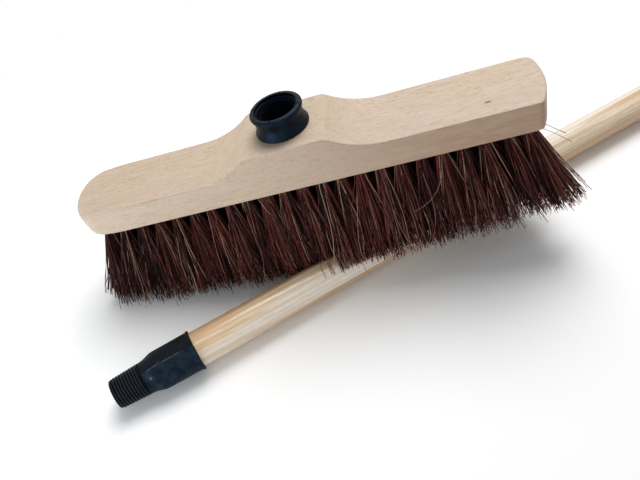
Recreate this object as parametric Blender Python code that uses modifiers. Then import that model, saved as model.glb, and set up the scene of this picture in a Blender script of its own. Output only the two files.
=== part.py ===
"""Yard broom: a beech head with five rows of stiff bristles, unscrewed from its handle and lying across it.

Lengths are in metres. The head is modelled in its own frame: X along the head, Z up, origin at the
middle of the underside. The handle is modelled along its own Z, from the nose of the threaded end.
Each frame is an empty that places its pieces on the ground.
"""

import math
import random

import bmesh
import bpy
from mathutils import Matrix, Vector

# Beech stock
STOCK_LENGTH = 0.357
STOCK_WIDTH = 0.0575
ARM_THICKNESS = 0.0224
HUMP_HEIGHT = 0.0369
PLATEAU_LENGTH = 0.060
RAMP_RUN = 0.0415
HUMP_SHIFT = -0.0016
END_RADIUS = 0.050
FRONT_CORNER_RADIUS = 0.0040
BACK_CORNER_RADIUS = 0.0080
EDGE_EASE = 0.0007
CORNER_STEPS = 5
END_STEPS = 10
RAMP_STEPS = 9

# Socket pressed into the stock
SOCKET_RIM_DIAMETER = 0.0389
SOCKET_MOUTH_DIAMETER = 0.0298
SOCKET_WAIST_DIAMETER = 0.0354
SOCKET_FLANGE_DIAMETER = 0.0400
SOCKET_SPIGOT_DIAMETER = 0.0330
SOCKET_STAND = 0.0168
SOCKET_WAIST_HEIGHT = 0.0090
SOCKET_LIP_HEIGHT = 0.0040
SOCKET_LIP_ROUND = 0.0012
SOCKET_FLANGE_EDGE = 0.0012
SOCKET_SPIGOT_LENGTH = 0.0145
SOCKET_FLOOR = 0.0020
MOUTH_CONE_DEPTH = 0.0045
RIM_HOLE_DIAMETER = 0.0014
RIM_HOLE_DEPTH = 0.0020
RIM_HOLE_ANGLE = math.radians(-10.0)
RIM_HOLES = 4

# Thread shared by the ferrule and the socket
THREAD_TIP_DIAMETER = 0.0221
THREAD_BASE_DIAMETER = 0.0255
THREAD_LENGTH = 0.0240
THREAD_PITCH = 0.0021
THREAD_DEPTH = 0.0007
THREAD_PLAY = 0.0004
THREAD_STEPS = 12

# Ferrule on the end of the handle
SLEEVE_START_DIAMETER = 0.0302
SLEEVE_END_DIAMETER = 0.0308
BEAD_DIAMETER = 0.0324
BEAD_WIDTH = 0.0026
SHOULDER_LENGTH = 0.0125
SLEEVE_LENGTH = 0.0275
NOSE_CHAMFER = 0.0008
NOSE_WALL = 0.0030
SPIGOT_DIAMETER = 0.0180

# Wooden stick
HANDLE_DIAMETER = 0.028
HANDLE_LENGTH = 1.220
HANDLE_END_ROUND = 0.006
DOME_STEPS = 4

# Tufts and the flat wire anchors that hold their folds
ROWS = 5
FRONT_TUFTS = 23
TUFT_PITCH = 0.0146
ROW_PITCH = 0.0112
TRIM_DEPTH = 0.0768
FIBRE_LENGTH = 0.0799
END_FLARE = 0.033
PRESSED_END_SPREAD_SHARE = 0.95
RAISED_END_SPREAD_SHARE = 0.55
CORNER_SHARE = 0.8
FLARE_POWER = 3
STRAND_SPACING = 0.0027
STRAND_RADIUS = 0.00115
STRAND_TIP_RADIUS = 0.00085
STRAND_ROOT = 0.0010
TIP_SPREAD_ALONG = 0.0042
TIP_SPREAD_ACROSS = 0.0050
TIP_WANDER = 0.0012
TRIM_UNEVENNESS = 0.0020
BACKING_WIDTH = 0.0064
BACKING_DEPTH = 0.0070
BACKING_MARGIN = 0.0042
ANCHOR_WIDTH = 0.0052
ANCHOR_HEIGHT = 0.0026
ANCHOR_THICKNESS = 0.0006
ANCHOR_WEB = 0.0004
STRAND_SIDES = 3
SEED = 7

# How the head lies across the handle
HEAD_YAW = math.radians(-28.45)
CROSSING_ON_HEAD = 0.0957
CROSSING_ON_HANDLE = 0.2828
BRISTLE_GIVE = 0.0042
FLOOR_CUT = 0.0005

# Clearances and cutting
FIT_GAP = 0.0003
OVERRUN = 0.004
ROUND_STEPS = 24
HOLE_STEPS = 8
MERGE = 0.00001
EASE_ANGLE = math.radians(32.0)
SMOOTH_ANGLE = math.radians(35.0)


def clear_scene():
    for obj in list(bpy.data.objects):
        bpy.data.objects.remove(obj)


def collection(name):
    made = bpy.data.collections.new(name)
    bpy.context.scene.collection.children.link(made)
    return made


def material(name, color, roughness, metallic=0.0):
    made = bpy.data.materials.new(name)
    made.use_nodes = True
    shader = made.node_tree.nodes["Principled BSDF"]
    shader.inputs["Base Color"].default_value = (*color, 1.0)
    shader.inputs["Roughness"].default_value = roughness
    shader.inputs["Metallic"].default_value = metallic
    return made


def link(obj, group, parent=None, finish=None):
    group.objects.link(obj)
    obj.parent = parent
    if finish:
        obj.data.materials.clear()
        obj.data.materials.append(finish)
    return obj


def as_cutter(obj):
    obj.hide_render = True
    obj.display_type = "WIRE"
    return obj


def boolean(obj, operation, other):
    cut = obj.modifiers.new(operation.lower() + "_" + other.name, "BOOLEAN")
    cut.operation = operation
    cut.object = other
    cut.solver = "EXACT"


def object_from_bmesh(name, bm):
    mesh = bpy.data.meshes.new(name)
    bm.to_mesh(mesh)
    bm.free()
    return bpy.data.objects.new(name, mesh)


def mesh_from_curve(obj):
    """Swaps a curve object for a mesh object of the same name, with its caps welded on."""
    bpy.context.view_layer.update()
    graph = bpy.context.evaluated_depsgraph_get()
    mesh = bpy.data.meshes.new_from_object(obj.evaluated_get(graph))
    bm = bmesh.new()
    bm.from_mesh(mesh)
    bmesh.ops.remove_doubles(bm, verts=bm.verts, dist=MERGE)
    bmesh.ops.recalc_face_normals(bm, faces=bm.faces)
    bm.to_mesh(mesh)
    bm.free()
    name, place, group = obj.name, obj.matrix_world.copy(), obj.users_collection[0]
    bpy.data.objects.remove(obj)
    made = bpy.data.objects.new(name, mesh)
    made.matrix_world = place
    group.objects.link(made)
    return made


def flat_outline(name, loops, thickness, place, group):
    """Closed outlines in a plane, given thickness on both sides of it."""
    curve = bpy.data.curves.new(name, "CURVE")
    curve.dimensions = "2D"
    curve.fill_mode = "BOTH"
    curve.extrude = thickness / 2
    for loop in loops:
        spline = curve.splines.new("POLY")
        spline.points.add(len(loop) - 1)
        for point, (x, y) in zip(spline.points, loop):
            point.co = (x, y, 0.0, 1.0)
        spline.use_cyclic_u = True
    obj = bpy.data.objects.new(name, curve)
    obj.matrix_world = place
    group.objects.link(obj)
    return mesh_from_curve(obj)


def turned(name, profile, steps=ROUND_STEPS):
    """A profile of (radius, height) points turned about Z, outer side running downwards."""
    bm = bmesh.new()
    points = [bm.verts.new((radius, 0.0, height)) for radius, height in profile]
    for first, second in zip(points, points[1:]):
        bm.edges.new((first, second))
    obj = object_from_bmesh(name, bm)
    screw = obj.modifiers.new("turn", "SCREW")
    screw.steps = steps
    screw.render_steps = steps
    screw.use_merge_vertices = True
    screw.merge_threshold = MERGE
    screw.use_smooth_shade = True
    return obj


def helix_ridge(name, radius_at, start, length, group):
    """A four-sided ridge that winds about Z at the thread's pitch."""
    turns = length / THREAD_PITCH
    count = max(2, round(turns * THREAD_STEPS))
    curve = bpy.data.curves.new(name, "CURVE")
    curve.dimensions = "3D"
    curve.twist_mode = "Z_UP"
    curve.bevel_depth = THREAD_DEPTH
    curve.bevel_resolution = 0
    curve.use_fill_caps = True
    spline = curve.splines.new("POLY")
    spline.points.add(count)
    for step, point in enumerate(spline.points):
        share = step / count
        angle = math.tau * turns * share
        along = length * share
        radius = radius_at(along)
        point.co = (radius * math.cos(angle), radius * math.sin(angle), start + along, 1.0)
    obj = bpy.data.objects.new(name, curve)
    group.objects.link(obj)
    return mesh_from_curve(obj)


def cylinder(bm, radius, low, high, place=Matrix.Identity(4), steps=HOLE_STEPS):
    middle = Matrix.Translation((0.0, 0.0, (low + high) / 2))
    bmesh.ops.create_cone(
        bm, cap_ends=True, segments=steps, radius1=radius, radius2=radius,
        depth=high - low, matrix=place @ middle)


def box(bm, low, high):
    low, high = Vector(low), Vector(high)
    place = Matrix.Translation((low + high) / 2) @ Matrix.Diagonal((*(high - low), 1.0))
    bmesh.ops.create_cube(bm, size=1.0, matrix=place)


def smooth_round(obj):
    """Smooth shading that keeps the edges of a mesh sharp past an angle."""
    obj.data.shade_smooth()
    obj.data.set_sharp_from_angle(angle=SMOOTH_ANGLE)


def row_y(row):
    return (row - (ROWS - 1) / 2) * ROW_PITCH


def row_tufts(row):
    """Even rows stand half a pitch aside, with one tuft fewer."""
    count = FRONT_TUFTS - row % 2
    return [(place - (count - 1) / 2) * TUFT_PITCH for place in range(count)]


def row_reach(row):
    return row_tufts(row)[-1] + BACKING_MARGIN


def outermost_root():
    return row_tufts(0)[-1] + STRAND_SPACING / 2


def flared(x, y):
    """Where the tuft rooted at x, y has the middle of its tips: the pressed end spreads the most."""
    bend = (abs(x) / outermost_root()) ** FLARE_POWER
    along = (1 + x / outermost_root()) / 2
    spread = PRESSED_END_SPREAD_SHARE + (RAISED_END_SPREAD_SHARE - PRESSED_END_SPREAD_SHARE) * along
    return x + math.copysign(END_FLARE * bend, x), y * (1 + spread * (1 - CORNER_SHARE * bend))


def tip_reach():
    """How far from the middle the end tufts still reach down to the trimmed level."""
    widest = flared(row_tufts(0)[-1], 0.0)[0] + TIP_SPREAD_ALONG
    spare = math.sqrt(max(0.0, FIBRE_LENGTH ** 2 - TRIM_DEPTH ** 2))
    return min(widest, outermost_root() + spare)


def row_strands(row):
    """Root and tip of each strand of a row. Even spreading keeps any two of them from crossing."""
    dice = random.Random(SEED + row)
    y = row_y(row)
    strands = []
    for x in row_tufts(row):
        tip_x, tip_y = flared(x, y)
        for along in (-1, 1):
            for across in (-1, 1):
                root = Vector((
                    x + along * STRAND_SPACING / 2, y + across * STRAND_SPACING / 2, STRAND_ROOT))
                tip = Vector((
                    tip_x + along * TIP_SPREAD_ALONG + dice.uniform(-TIP_WANDER, TIP_WANDER),
                    tip_y + across * TIP_SPREAD_ACROSS + dice.uniform(-TIP_WANDER, TIP_WANDER),
                    -TRIM_DEPTH))
                length = (tip - root).length
                longest = min(length, FIBRE_LENGTH) - dice.uniform(0, TRIM_UNEVENNESS)
                strands.append((root, root.lerp(tip, longest / length)))
    return strands


def front_reach():
    return -flared(0.0, row_y(0))[1] + TIP_SPREAD_ACROSS / 2


def ferrule_length():
    return THREAD_LENGTH + SHOULDER_LENGTH + SLEEVE_LENGTH


def handle_dip():
    """The handle slopes a little, because it rests on the ferrule's bead and on its far end."""
    drop = (BEAD_DIAMETER - HANDLE_DIAMETER) / 2
    span = HANDLE_LENGTH - HANDLE_END_ROUND - ferrule_length() + BEAD_WIDTH / 2
    return math.asin(drop / span)


def handle_place():
    """The handle's frame: its Z runs along world X from the nose, dipping to the far end."""
    dip = handle_dip()
    bead = ferrule_length() - BEAD_WIDTH / 2
    height = BEAD_DIAMETER / 2 * math.cos(dip) + bead * math.sin(dip)
    turn = Matrix.Rotation(math.pi / 2 + dip, 4, "Y")
    return Matrix.Translation((0.0, 0.0, height)) @ turn


def head_tilt():
    """How far the head leans along its length, with one end on the ground and the handle under it."""
    front_crossing = CROSSING_ON_HEAD - front_reach() / math.tan(-HEAD_YAW)
    return math.asin((HANDLE_DIAMETER - BRISTLE_GIVE) / (tip_reach() + front_crossing))


def head_place():
    """The head's frame: left end on its bristle tips, the right end held up by the handle."""
    turn = Matrix.Rotation(HEAD_YAW, 4, "Z") @ Matrix.Rotation(-head_tilt(), 4, "Y")
    lowest = min((turn @ tip).z for row in range(ROWS) for _, tip in row_strands(row))
    height = -lowest - FLOOR_CUT
    crossing = turn @ Vector((CROSSING_ON_HEAD, 0.0, 0.0))
    return Matrix.Translation((CROSSING_ON_HANDLE - crossing.x, -crossing.y, height)) @ turn


def arc(centre_x, centre_y, radius, start, end, steps):
    angles = [start + (end - start) * step / steps for step in range(steps + 1)]
    return [(centre_x + radius * math.cos(a), centre_y + radius * math.sin(a)) for a in angles]


def stock_outline():
    """Plan of the stock: straight sides and arched ends, with the corners rounder at the back."""
    end_x = STOCK_LENGTH / 2 - END_RADIUS
    corners = []
    for radius, side in ((FRONT_CORNER_RADIUS, -1), (BACK_CORNER_RADIUS, 1)):
        y = side * (STOCK_WIDTH / 2 - radius)
        x = end_x + math.sqrt((END_RADIUS - radius) ** 2 - y ** 2)
        corners.append((x, y, radius, math.atan2(y, x - end_x)))
    (front_x, front_y, front_radius, front), (back_x, back_y, back_radius, back) = corners
    right = arc(front_x, front_y, front_radius, -math.pi / 2, front, CORNER_STEPS)
    right += arc(end_x, 0.0, END_RADIUS, front, back, END_STEPS)[1:-1]
    right += arc(back_x, back_y, back_radius, back, math.pi / 2, CORNER_STEPS)
    return right + [(-x, y) for x, y in reversed(right)]


def stock_side():
    """Side view of the stock: flat arms, hollow ramps and a flat-topped hump."""
    rise = HUMP_HEIGHT - ARM_THICKNESS
    radius = (RAMP_RUN ** 2 + rise ** 2) / (2 * rise)
    half = PLATEAU_LENGTH / 2
    end = STOCK_LENGTH / 2 + OVERRUN
    ramp = []
    for step in range(RAMP_STEPS + 1):
        run = RAMP_RUN * (1 - step / RAMP_STEPS)
        ramp.append((half + RAMP_RUN - run, HUMP_HEIGHT if run == RAMP_RUN else
                     ARM_THICKNESS + radius - math.sqrt(radius ** 2 - run ** 2)))
    right = [(HUMP_SHIFT + x, z) for x, z in ramp]
    left = [(HUMP_SHIFT - x, z) for x, z in reversed(ramp)]
    return [(end, 0.0), (end, ARM_THICKNESS), *reversed(right), *reversed(left),
            (-end, ARM_THICKNESS), (-end, 0.0)]


def anchor_slot_top():
    return BACKING_DEPTH + 2 * FIT_GAP + ANCHOR_HEIGHT


def make_stock(group, cutters, head, finish):
    upright = Matrix.Rotation(math.pi / 2, 4, "X")
    raised = Matrix.Translation((0.0, 0.0, HUMP_HEIGHT / 2))
    stock = flat_outline("stock", [stock_outline()], HUMP_HEIGHT + 2 * OVERRUN, raised, group)
    stock.data.transform(stock.matrix_world)
    stock.matrix_world = Matrix.Identity(4)
    side = flat_outline("stock_side_cut", [stock_side()], STOCK_WIDTH + 2 * OVERRUN, upright, cutters)
    boolean(stock, "INTERSECT", side)
    ease = stock.modifiers.new("eased_edges", "BEVEL")
    ease.width = EDGE_EASE
    ease.segments = 1
    ease.limit_method = "ANGLE"
    ease.angle_limit = EASE_ANGLE
    bm = bmesh.new()
    for row in range(ROWS):
        y, reach = row_y(row), row_reach(row) + FIT_GAP
        half = BACKING_WIDTH / 2 + FIT_GAP
        box(bm, (-reach, y - half, -OVERRUN), (reach, y + half, BACKING_DEPTH + FIT_GAP))
    grooves = link(object_from_bmesh("groove_cut", bm), cutters)
    bm = bmesh.new()
    for row in range(ROWS):
        y, reach = row_y(row), row_tufts(row)[-1] + ANCHOR_WIDTH / 2 + FIT_GAP
        half = ANCHOR_THICKNESS / 2 + FIT_GAP
        box(bm, (-reach, y - half, BACKING_DEPTH), (reach, y + half, anchor_slot_top()))
    slots = link(object_from_bmesh("anchor_slot_cut", bm), cutters)
    bm = bmesh.new()
    bottom = HUMP_HEIGHT - SOCKET_SPIGOT_LENGTH - FIT_GAP
    cylinder(bm, SOCKET_SPIGOT_DIAMETER / 2 + FIT_GAP, bottom, HUMP_HEIGHT + OVERRUN,
             Matrix.Translation((HUMP_SHIFT, 0.0, 0.0)), ROUND_STEPS)
    hole = link(object_from_bmesh("socket_hole_cut", bm), cutters)
    for cutter in (side, grooves, slots, hole):
        cutter.parent = head
        as_cutter(cutter)
    for cutter in (grooves, slots, hole):
        boolean(stock, "DIFFERENCE", cutter)
    stock.parent = head
    stock.data.materials.append(finish)
    smooth_round(stock)
    return stock


def thread_core(along):
    """Radius of the ferrule's thread at its root, along from the base to the nose."""
    share = along / THREAD_LENGTH
    crest = THREAD_BASE_DIAMETER + (THREAD_TIP_DIAMETER - THREAD_BASE_DIAMETER) * share
    return crest / 2 - THREAD_DEPTH


def socket_profile():
    """Turned section of the socket, height zero on the plateau it stands on."""
    mouth, rim = SOCKET_MOUTH_DIAMETER / 2, SOCKET_RIM_DIAMETER / 2
    waist, flange = SOCKET_WAIST_DIAMETER / 2, SOCKET_FLANGE_DIAMETER / 2
    spigot = SOCKET_SPIGOT_DIAMETER / 2
    bottom = -SOCKET_SPIGOT_LENGTH
    floor = bottom + SOCKET_FLOOR
    opening = THREAD_PLAY + THREAD_DEPTH
    thread_top = SOCKET_STAND - MOUTH_CONE_DEPTH
    lip = SOCKET_STAND - SOCKET_LIP_HEIGHT
    points = [(0.0, floor), (thread_core(THREAD_LENGTH) + opening, floor)]
    points += [(thread_core(THREAD_LENGTH) + opening, thread_top - THREAD_LENGTH)]
    points += [(thread_core(0.0) + opening, thread_top), (mouth, SOCKET_STAND)]
    steps = 3
    for step in range(steps + 1):
        angle = math.pi / 2 * (1 - step / steps)
        points.append((rim - SOCKET_LIP_ROUND + SOCKET_LIP_ROUND * math.cos(angle),
                       SOCKET_STAND - SOCKET_LIP_ROUND + SOCKET_LIP_ROUND * math.sin(angle)))
    for step in range(1, steps + 1):
        share = step / steps
        points.append((rim + (waist - rim) * math.sin(math.pi / 2 * share),
                       lip + (SOCKET_WAIST_HEIGHT - lip) * share))
    for step in range(1, steps + 2):
        share = step / (steps + 1)
        points.append((waist + (flange - waist) * share ** 2,
                       SOCKET_WAIST_HEIGHT + (SOCKET_FLANGE_EDGE - SOCKET_WAIST_HEIGHT) * share))
    points += [(flange, FIT_GAP), (spigot, FIT_GAP), (spigot, bottom), (0.0, bottom)]
    return points


def make_socket(group, cutters, head, finish):
    place = Matrix.Translation((HUMP_SHIFT, 0.0, HUMP_HEIGHT))
    socket = link(turned("socket", socket_profile()), group, head, finish)
    socket.matrix_local = place
    thread_bottom = SOCKET_STAND - MOUTH_CONE_DEPTH - THREAD_LENGTH
    wall = THREAD_PLAY + THREAD_DEPTH
    ridge = helix_ridge(
        "socket_thread_add", lambda along: thread_core(THREAD_LENGTH - along) + wall,
        thread_bottom + THREAD_PITCH, THREAD_LENGTH - THREAD_PITCH, cutters)
    bm = bmesh.new()
    ring = (SOCKET_MOUTH_DIAMETER + SOCKET_RIM_DIAMETER) / 4
    for hole in range(RIM_HOLES):
        turn = Matrix.Rotation(RIM_HOLE_ANGLE + math.tau * hole / RIM_HOLES, 4, "Z")
        cylinder(bm, RIM_HOLE_DIAMETER / 2, SOCKET_STAND - RIM_HOLE_DEPTH, SOCKET_STAND + OVERRUN,
                 turn @ Matrix.Translation((ring, 0.0, 0.0)))
    holes = link(object_from_bmesh("rim_hole_cut", bm), cutters)
    for cutter, operation in ((ridge, "UNION"), (holes, "DIFFERENCE")):
        cutter.parent = head
        cutter.matrix_local = place
        boolean(socket, operation, as_cutter(cutter))
    return socket


def ferrule_profile():
    """Turned section of the ferrule, height zero at the nose, bore open at the handle's side."""
    sleeve_start, sleeve_end = SLEEVE_START_DIAMETER / 2, SLEEVE_END_DIAMETER / 2
    bead, spigot = BEAD_DIAMETER / 2, SPIGOT_DIAMETER / 2 + FIT_GAP
    stick = HANDLE_DIAMETER / 2 + FIT_GAP
    base, tip = thread_core(0.0), thread_core(THREAD_LENGTH)
    shoulder = THREAD_LENGTH + SHOULDER_LENGTH
    length = ferrule_length()
    seat = shoulder + FIT_GAP
    points = [(0.0, NOSE_WALL), (spigot, NOSE_WALL), (spigot, seat), (stick, seat), (stick, length)]
    points += [(bead - BEAD_WIDTH / 4, length), (bead, length - BEAD_WIDTH / 3)]
    points += [(bead, length - BEAD_WIDTH * 2 / 3), (sleeve_end, length - BEAD_WIDTH)]
    steps = 5
    for step in range(steps + 1):
        share = 1 - step / steps
        swell = (1 - math.cos(math.pi * share)) / 2
        points.append((base + THREAD_DEPTH / 2 + (sleeve_start - base - THREAD_DEPTH / 2) * swell,
                       THREAD_LENGTH + SHOULDER_LENGTH * share))
    points += [(base, THREAD_LENGTH), (tip, NOSE_CHAMFER), (tip - NOSE_CHAMFER, 0.0), (0.0, 0.0)]
    return points


def make_ferrule(group, cutters, handle, finish):
    ferrule = link(turned("ferrule", ferrule_profile()), group, handle, finish)
    run = THREAD_LENGTH - THREAD_PITCH
    ridge = helix_ridge(
        "ferrule_thread_add", lambda along: thread_core(run - along), THREAD_PITCH, run, cutters)
    ridge.parent = handle
    boolean(ferrule, "UNION", as_cutter(ridge))
    return ferrule


def make_stick(group, handle, finish):
    """The stick: a turned-down spigot in the ferrule, a plain round and a domed far end."""
    radius, spigot = HANDLE_DIAMETER / 2, SPIGOT_DIAMETER / 2
    flat = radius - HANDLE_END_ROUND
    shoulder = THREAD_LENGTH + SHOULDER_LENGTH + 2 * FIT_GAP
    points = [(0.0, HANDLE_LENGTH)]
    for step in range(DOME_STEPS + 1):
        angle = math.pi / 2 * (1 - step / DOME_STEPS)
        points.append((flat + HANDLE_END_ROUND * math.cos(angle),
                       HANDLE_LENGTH - HANDLE_END_ROUND + HANDLE_END_ROUND * math.sin(angle)))
    nose = NOSE_WALL + FIT_GAP
    points += [(radius, shoulder), (spigot, shoulder), (spigot, nose), (0.0, nose)]
    return link(turned("handle_stick", points), group, handle, finish)


def handle_touch(start, end, clear, to_handle):
    """Share of the way from start to end at which a line comes within clear of the handle's axis."""
    first, last = to_handle @ start, to_handle @ end
    way = last - first
    a = way.x ** 2 + way.y ** 2
    b = first.x * way.x + first.y * way.y
    c = first.x ** 2 + first.y ** 2 - clear ** 2
    inside = b * b - a * c
    if inside <= 0:
        return 1.0
    share = (-b - math.sqrt(inside)) / a
    return share if 0 < share < 1 else 1.0


def add_strand(bm, root, tip, to_world, to_handle):
    """One tapered strand, trimmed level, and cut off where it meets the ground or the handle."""
    clear = HANDLE_DIAMETER / 2 + STRAND_RADIUS + FIT_GAP
    stop = handle_touch(to_world @ root, to_world @ tip, clear, to_handle)
    made = bmesh.ops.create_cone(
        bm, cap_ends=True, segments=STRAND_SIDES, radius1=STRAND_TIP_RADIUS,
        radius2=STRAND_RADIUS, depth=TRIM_DEPTH)
    corners = made["verts"]
    scale = STRAND_TIP_RADIUS / STRAND_RADIUS
    for corner in corners:
        at_root = corner.co.z > 0
        offset = Vector((corner.co.x, corner.co.y, 0.0))
        if at_root:
            corner.co = root + offset
            continue
        top, bottom = root + offset / scale, tip + offset
        high, low = (to_world @ top).z, (to_world @ bottom).z
        share = min(stop, high / (high - low) if low < 0 else 1.0)
        corner.co = top.lerp(bottom, share)


def make_bristle_row(row, group, cutters, head, finish, to_handle):
    """A row's tufts as stiff strands, rooted in the slice of wood that holds them."""
    y, reach = row_y(row), row_reach(row)
    half = BACKING_WIDTH / 2
    name = "bristle_row_" + str(row + 1)
    bm = bmesh.new()
    box(bm, (-reach, y - half, 0.0), (reach, y + half, BACKING_DEPTH))
    backing = link(object_from_bmesh(name, bm), group, head, finish)
    bm = bmesh.new()
    for root, tip in row_strands(row):
        add_strand(bm, root, tip, head.matrix_world, to_handle)
    strands = link(object_from_bmesh(name + "_strands_add", bm), cutters, head)
    boolean(backing, "UNION", as_cutter(strands))
    return backing


def anchor_outline(row):
    """A row's anchors seen from the side: flat plates across the tufts, joined by a thin web."""
    half, low = ANCHOR_WIDTH / 2, BACKING_DEPTH + FIT_GAP
    high, web = low + ANCHOR_HEIGHT, low + ANCHOR_WEB
    tufts = row_tufts(row)
    top = []
    for x in reversed(tufts):
        top += [(x + half, web), (x + half, high), (x - half, high), (x - half, web)]
    return [(tufts[0] - half, low), (tufts[-1] + half, low), *top[1:-1]]


def make_anchor_row(row, group, head, finish):
    """The flat wire anchors over the folds of a row's tufts, as one comb."""
    place = Matrix.Translation((0.0, row_y(row), 0.0)) @ Matrix.Rotation(math.pi / 2, 4, "X")
    name = "anchors_row_" + str(row + 1)
    anchors = flat_outline(name, [anchor_outline(row)], ANCHOR_THICKNESS, place, group)
    anchors.parent = head
    anchors.data.materials.append(finish)
    return anchors


def frame_empty(name, place, group):
    empty = bpy.data.objects.new(name, None)
    group.objects.link(empty)
    empty.matrix_world = place
    return empty


def whole_box(group):
    """Lowest and highest corners of every finished piece."""
    bpy.context.view_layer.update()
    graph = bpy.context.evaluated_depsgraph_get()
    corners = []
    for obj in group.objects:
        if obj.type == "MESH":
            shown = obj.evaluated_get(graph)
            corners += [obj.matrix_world @ vertex.co for vertex in shown.data.vertices]
    low = Vector([min(corner[axis] for corner in corners) for axis in range(3)])
    high = Vector([max(corner[axis] for corner in corners) for axis in range(3)])
    return low, high


def main():
    clear_scene()
    broom = collection("yard_broom")
    cutters = collection("cutters")
    beech = material("beech", (0.72, 0.57, 0.43), 0.6)
    lacquered_wood = material("lacquered_wood", (0.76, 0.56, 0.33), 0.3)
    plastic = material("dark_plastic", (0.012, 0.016, 0.022), 0.42)
    fibre = material("dark_red_fibre", (0.05, 0.014, 0.011), 0.6)
    steel = material("anchor_steel", (0.55, 0.55, 0.56), 0.35, 1.0)

    handle = frame_empty("handle_frame", handle_place(), broom)
    head = frame_empty("head_frame", head_place(), broom)
    bpy.context.view_layer.update()
    to_handle = handle.matrix_world.inverted()

    make_stock(broom, cutters, head, beech)
    make_socket(broom, cutters, head, plastic)
    for row in range(ROWS):
        make_bristle_row(row, broom, cutters, head, fibre, to_handle)
        make_anchor_row(row, broom, head, steel)
    make_ferrule(broom, cutters, handle, plastic)
    make_stick(broom, handle, lacquered_wood)

    low, high = whole_box(broom)
    middle = (low + high) / 2
    for frame in (handle, head):
        frame.location -= Vector((middle.x, middle.y, low.z))
    bpy.context.view_layer.update()
    print("head frame", [round(value, 6) for value in head.location])
    print("head tilt in degrees", round(math.degrees(head_tilt()), 4))
    print("size", [round(value, 4) for value in high - low])
    print("lowest point before it is set on the ground", round(low.z, 6))


main()
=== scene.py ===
# %% [markdown]
# # A yard broom, unscrewed and laid across its handle
#
# The broom is in two parts here. The head is a board of beech with five rows of stiff fibre
# tufts and a threaded plastic socket. The handle is a round wooden stick with a threaded
# plastic end. The head lies across the handle, so it leans a little to one side.
#
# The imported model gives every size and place. Each step below makes one piece in its own
# simple frame and then moves it to where it lies, so its object stays at the origin.

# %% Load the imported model
import math

import bmesh
import bpy
import numpy as np
from mathutils import Euler, Matrix, Vector


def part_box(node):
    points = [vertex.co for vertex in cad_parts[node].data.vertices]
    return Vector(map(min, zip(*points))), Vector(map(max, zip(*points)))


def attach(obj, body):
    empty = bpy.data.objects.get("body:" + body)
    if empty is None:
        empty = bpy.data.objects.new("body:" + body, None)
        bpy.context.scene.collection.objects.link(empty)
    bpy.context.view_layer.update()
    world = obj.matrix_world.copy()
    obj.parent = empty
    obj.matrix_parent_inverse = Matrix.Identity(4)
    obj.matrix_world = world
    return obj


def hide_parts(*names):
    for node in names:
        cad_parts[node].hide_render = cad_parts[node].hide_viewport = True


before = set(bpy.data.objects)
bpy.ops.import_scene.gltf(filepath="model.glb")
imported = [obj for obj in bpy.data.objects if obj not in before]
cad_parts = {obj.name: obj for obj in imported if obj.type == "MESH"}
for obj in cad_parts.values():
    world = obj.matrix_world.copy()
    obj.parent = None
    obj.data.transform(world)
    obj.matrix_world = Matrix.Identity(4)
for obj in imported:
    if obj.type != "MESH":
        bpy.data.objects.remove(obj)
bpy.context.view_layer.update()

# %% [markdown]
# ## Two frames to work in
#
# A piece is easiest to model where its own axes are simple. The head's frame has X along the
# board, Z up out of the board, and its origin at the middle of the underside. The handle's
# frame has Z along the stick, from the nose of the threaded end. A matrix for each frame then
# lays the finished piece in its place on the floor.

# %% Place of the head and of the handle
HEAD_MIDDLE = (-0.410758, 0.003245, 0.094525)
HEAD_YAW = math.radians(-28.45)
HEAD_TILT = math.radians(6.742)
HANDLE_NOSE = (-0.609998, -0.042031, 0.016321)
HANDLE_DIP = 0.0019093

head_turn = Matrix.Rotation(HEAD_YAW, 4, "Z") @ Matrix.Rotation(-HEAD_TILT, 4, "Y")
head_place = Matrix.Translation(HEAD_MIDDLE) @ head_turn
handle_place = Matrix.Translation(HANDLE_NOSE) @ Matrix.Rotation(math.pi / 2 + HANDLE_DIP, 4, "Y")

BOARD_MIDDLE = 0.0185
stock_low, stock_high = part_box("stock")
off = head_place @ Vector((0.0, 0.0, BOARD_MIDDLE)) - (stock_low + stock_high) / 2
print("head frame is", round(off.length * 1000, 2), "mm from the board's middle")

# %% [markdown]
# ## Small helpers
#
# A bmesh is a mesh that is being worked on. One helper ends that work: it merges double
# points, turns the faces outwards, moves the shape to its place and puts it in the scene.
# Others shade a piece smooth, with a sharp line wherever two faces meet at more than a set
# angle, and add or cut one closed shape with another, keeping the result as a plain mesh. The
# last one gives a piece its material and its body, and hides the CAD node that it replaces.

# %% Helpers that finish a shape
MERGE = 0.000002
SHARP = math.radians(32)


def linked(name, data):
    """A new object with a mesh, a curve, a lamp or a camera, put in the scene."""
    made = bpy.data.objects.new(name, data)
    bpy.context.scene.collection.objects.link(made)
    return made


def evaluated(piece):
    """A piece as its modifiers leave it, as a plain mesh."""
    bpy.context.view_layer.update()
    graph = bpy.context.evaluated_depsgraph_get()
    mesh = bpy.data.meshes.new_from_object(piece.evaluated_get(graph))
    mesh.name = piece.name
    return mesh


def finished(bm, name, place=Matrix.Identity(4)):
    bmesh.ops.remove_doubles(bm, verts=bm.verts, dist=MERGE)
    bmesh.ops.recalc_face_normals(bm, faces=bm.faces)
    bm.transform(place)
    mesh = bpy.data.meshes.new(name)
    bm.to_mesh(mesh)
    bm.free()
    return linked(name, mesh)


def shade(piece):
    piece.data.shade_smooth()
    piece.data.set_sharp_from_angle(angle=SHARP)
    return piece


def combined(piece, other, operation):
    step = piece.modifiers.new("combine", "BOOLEAN")
    step.operation = operation
    step.object = other
    step.solver = "EXACT"
    mesh = evaluated(piece)
    piece.modifiers.clear()
    piece.data = mesh
    bpy.data.objects.remove(other)


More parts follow.
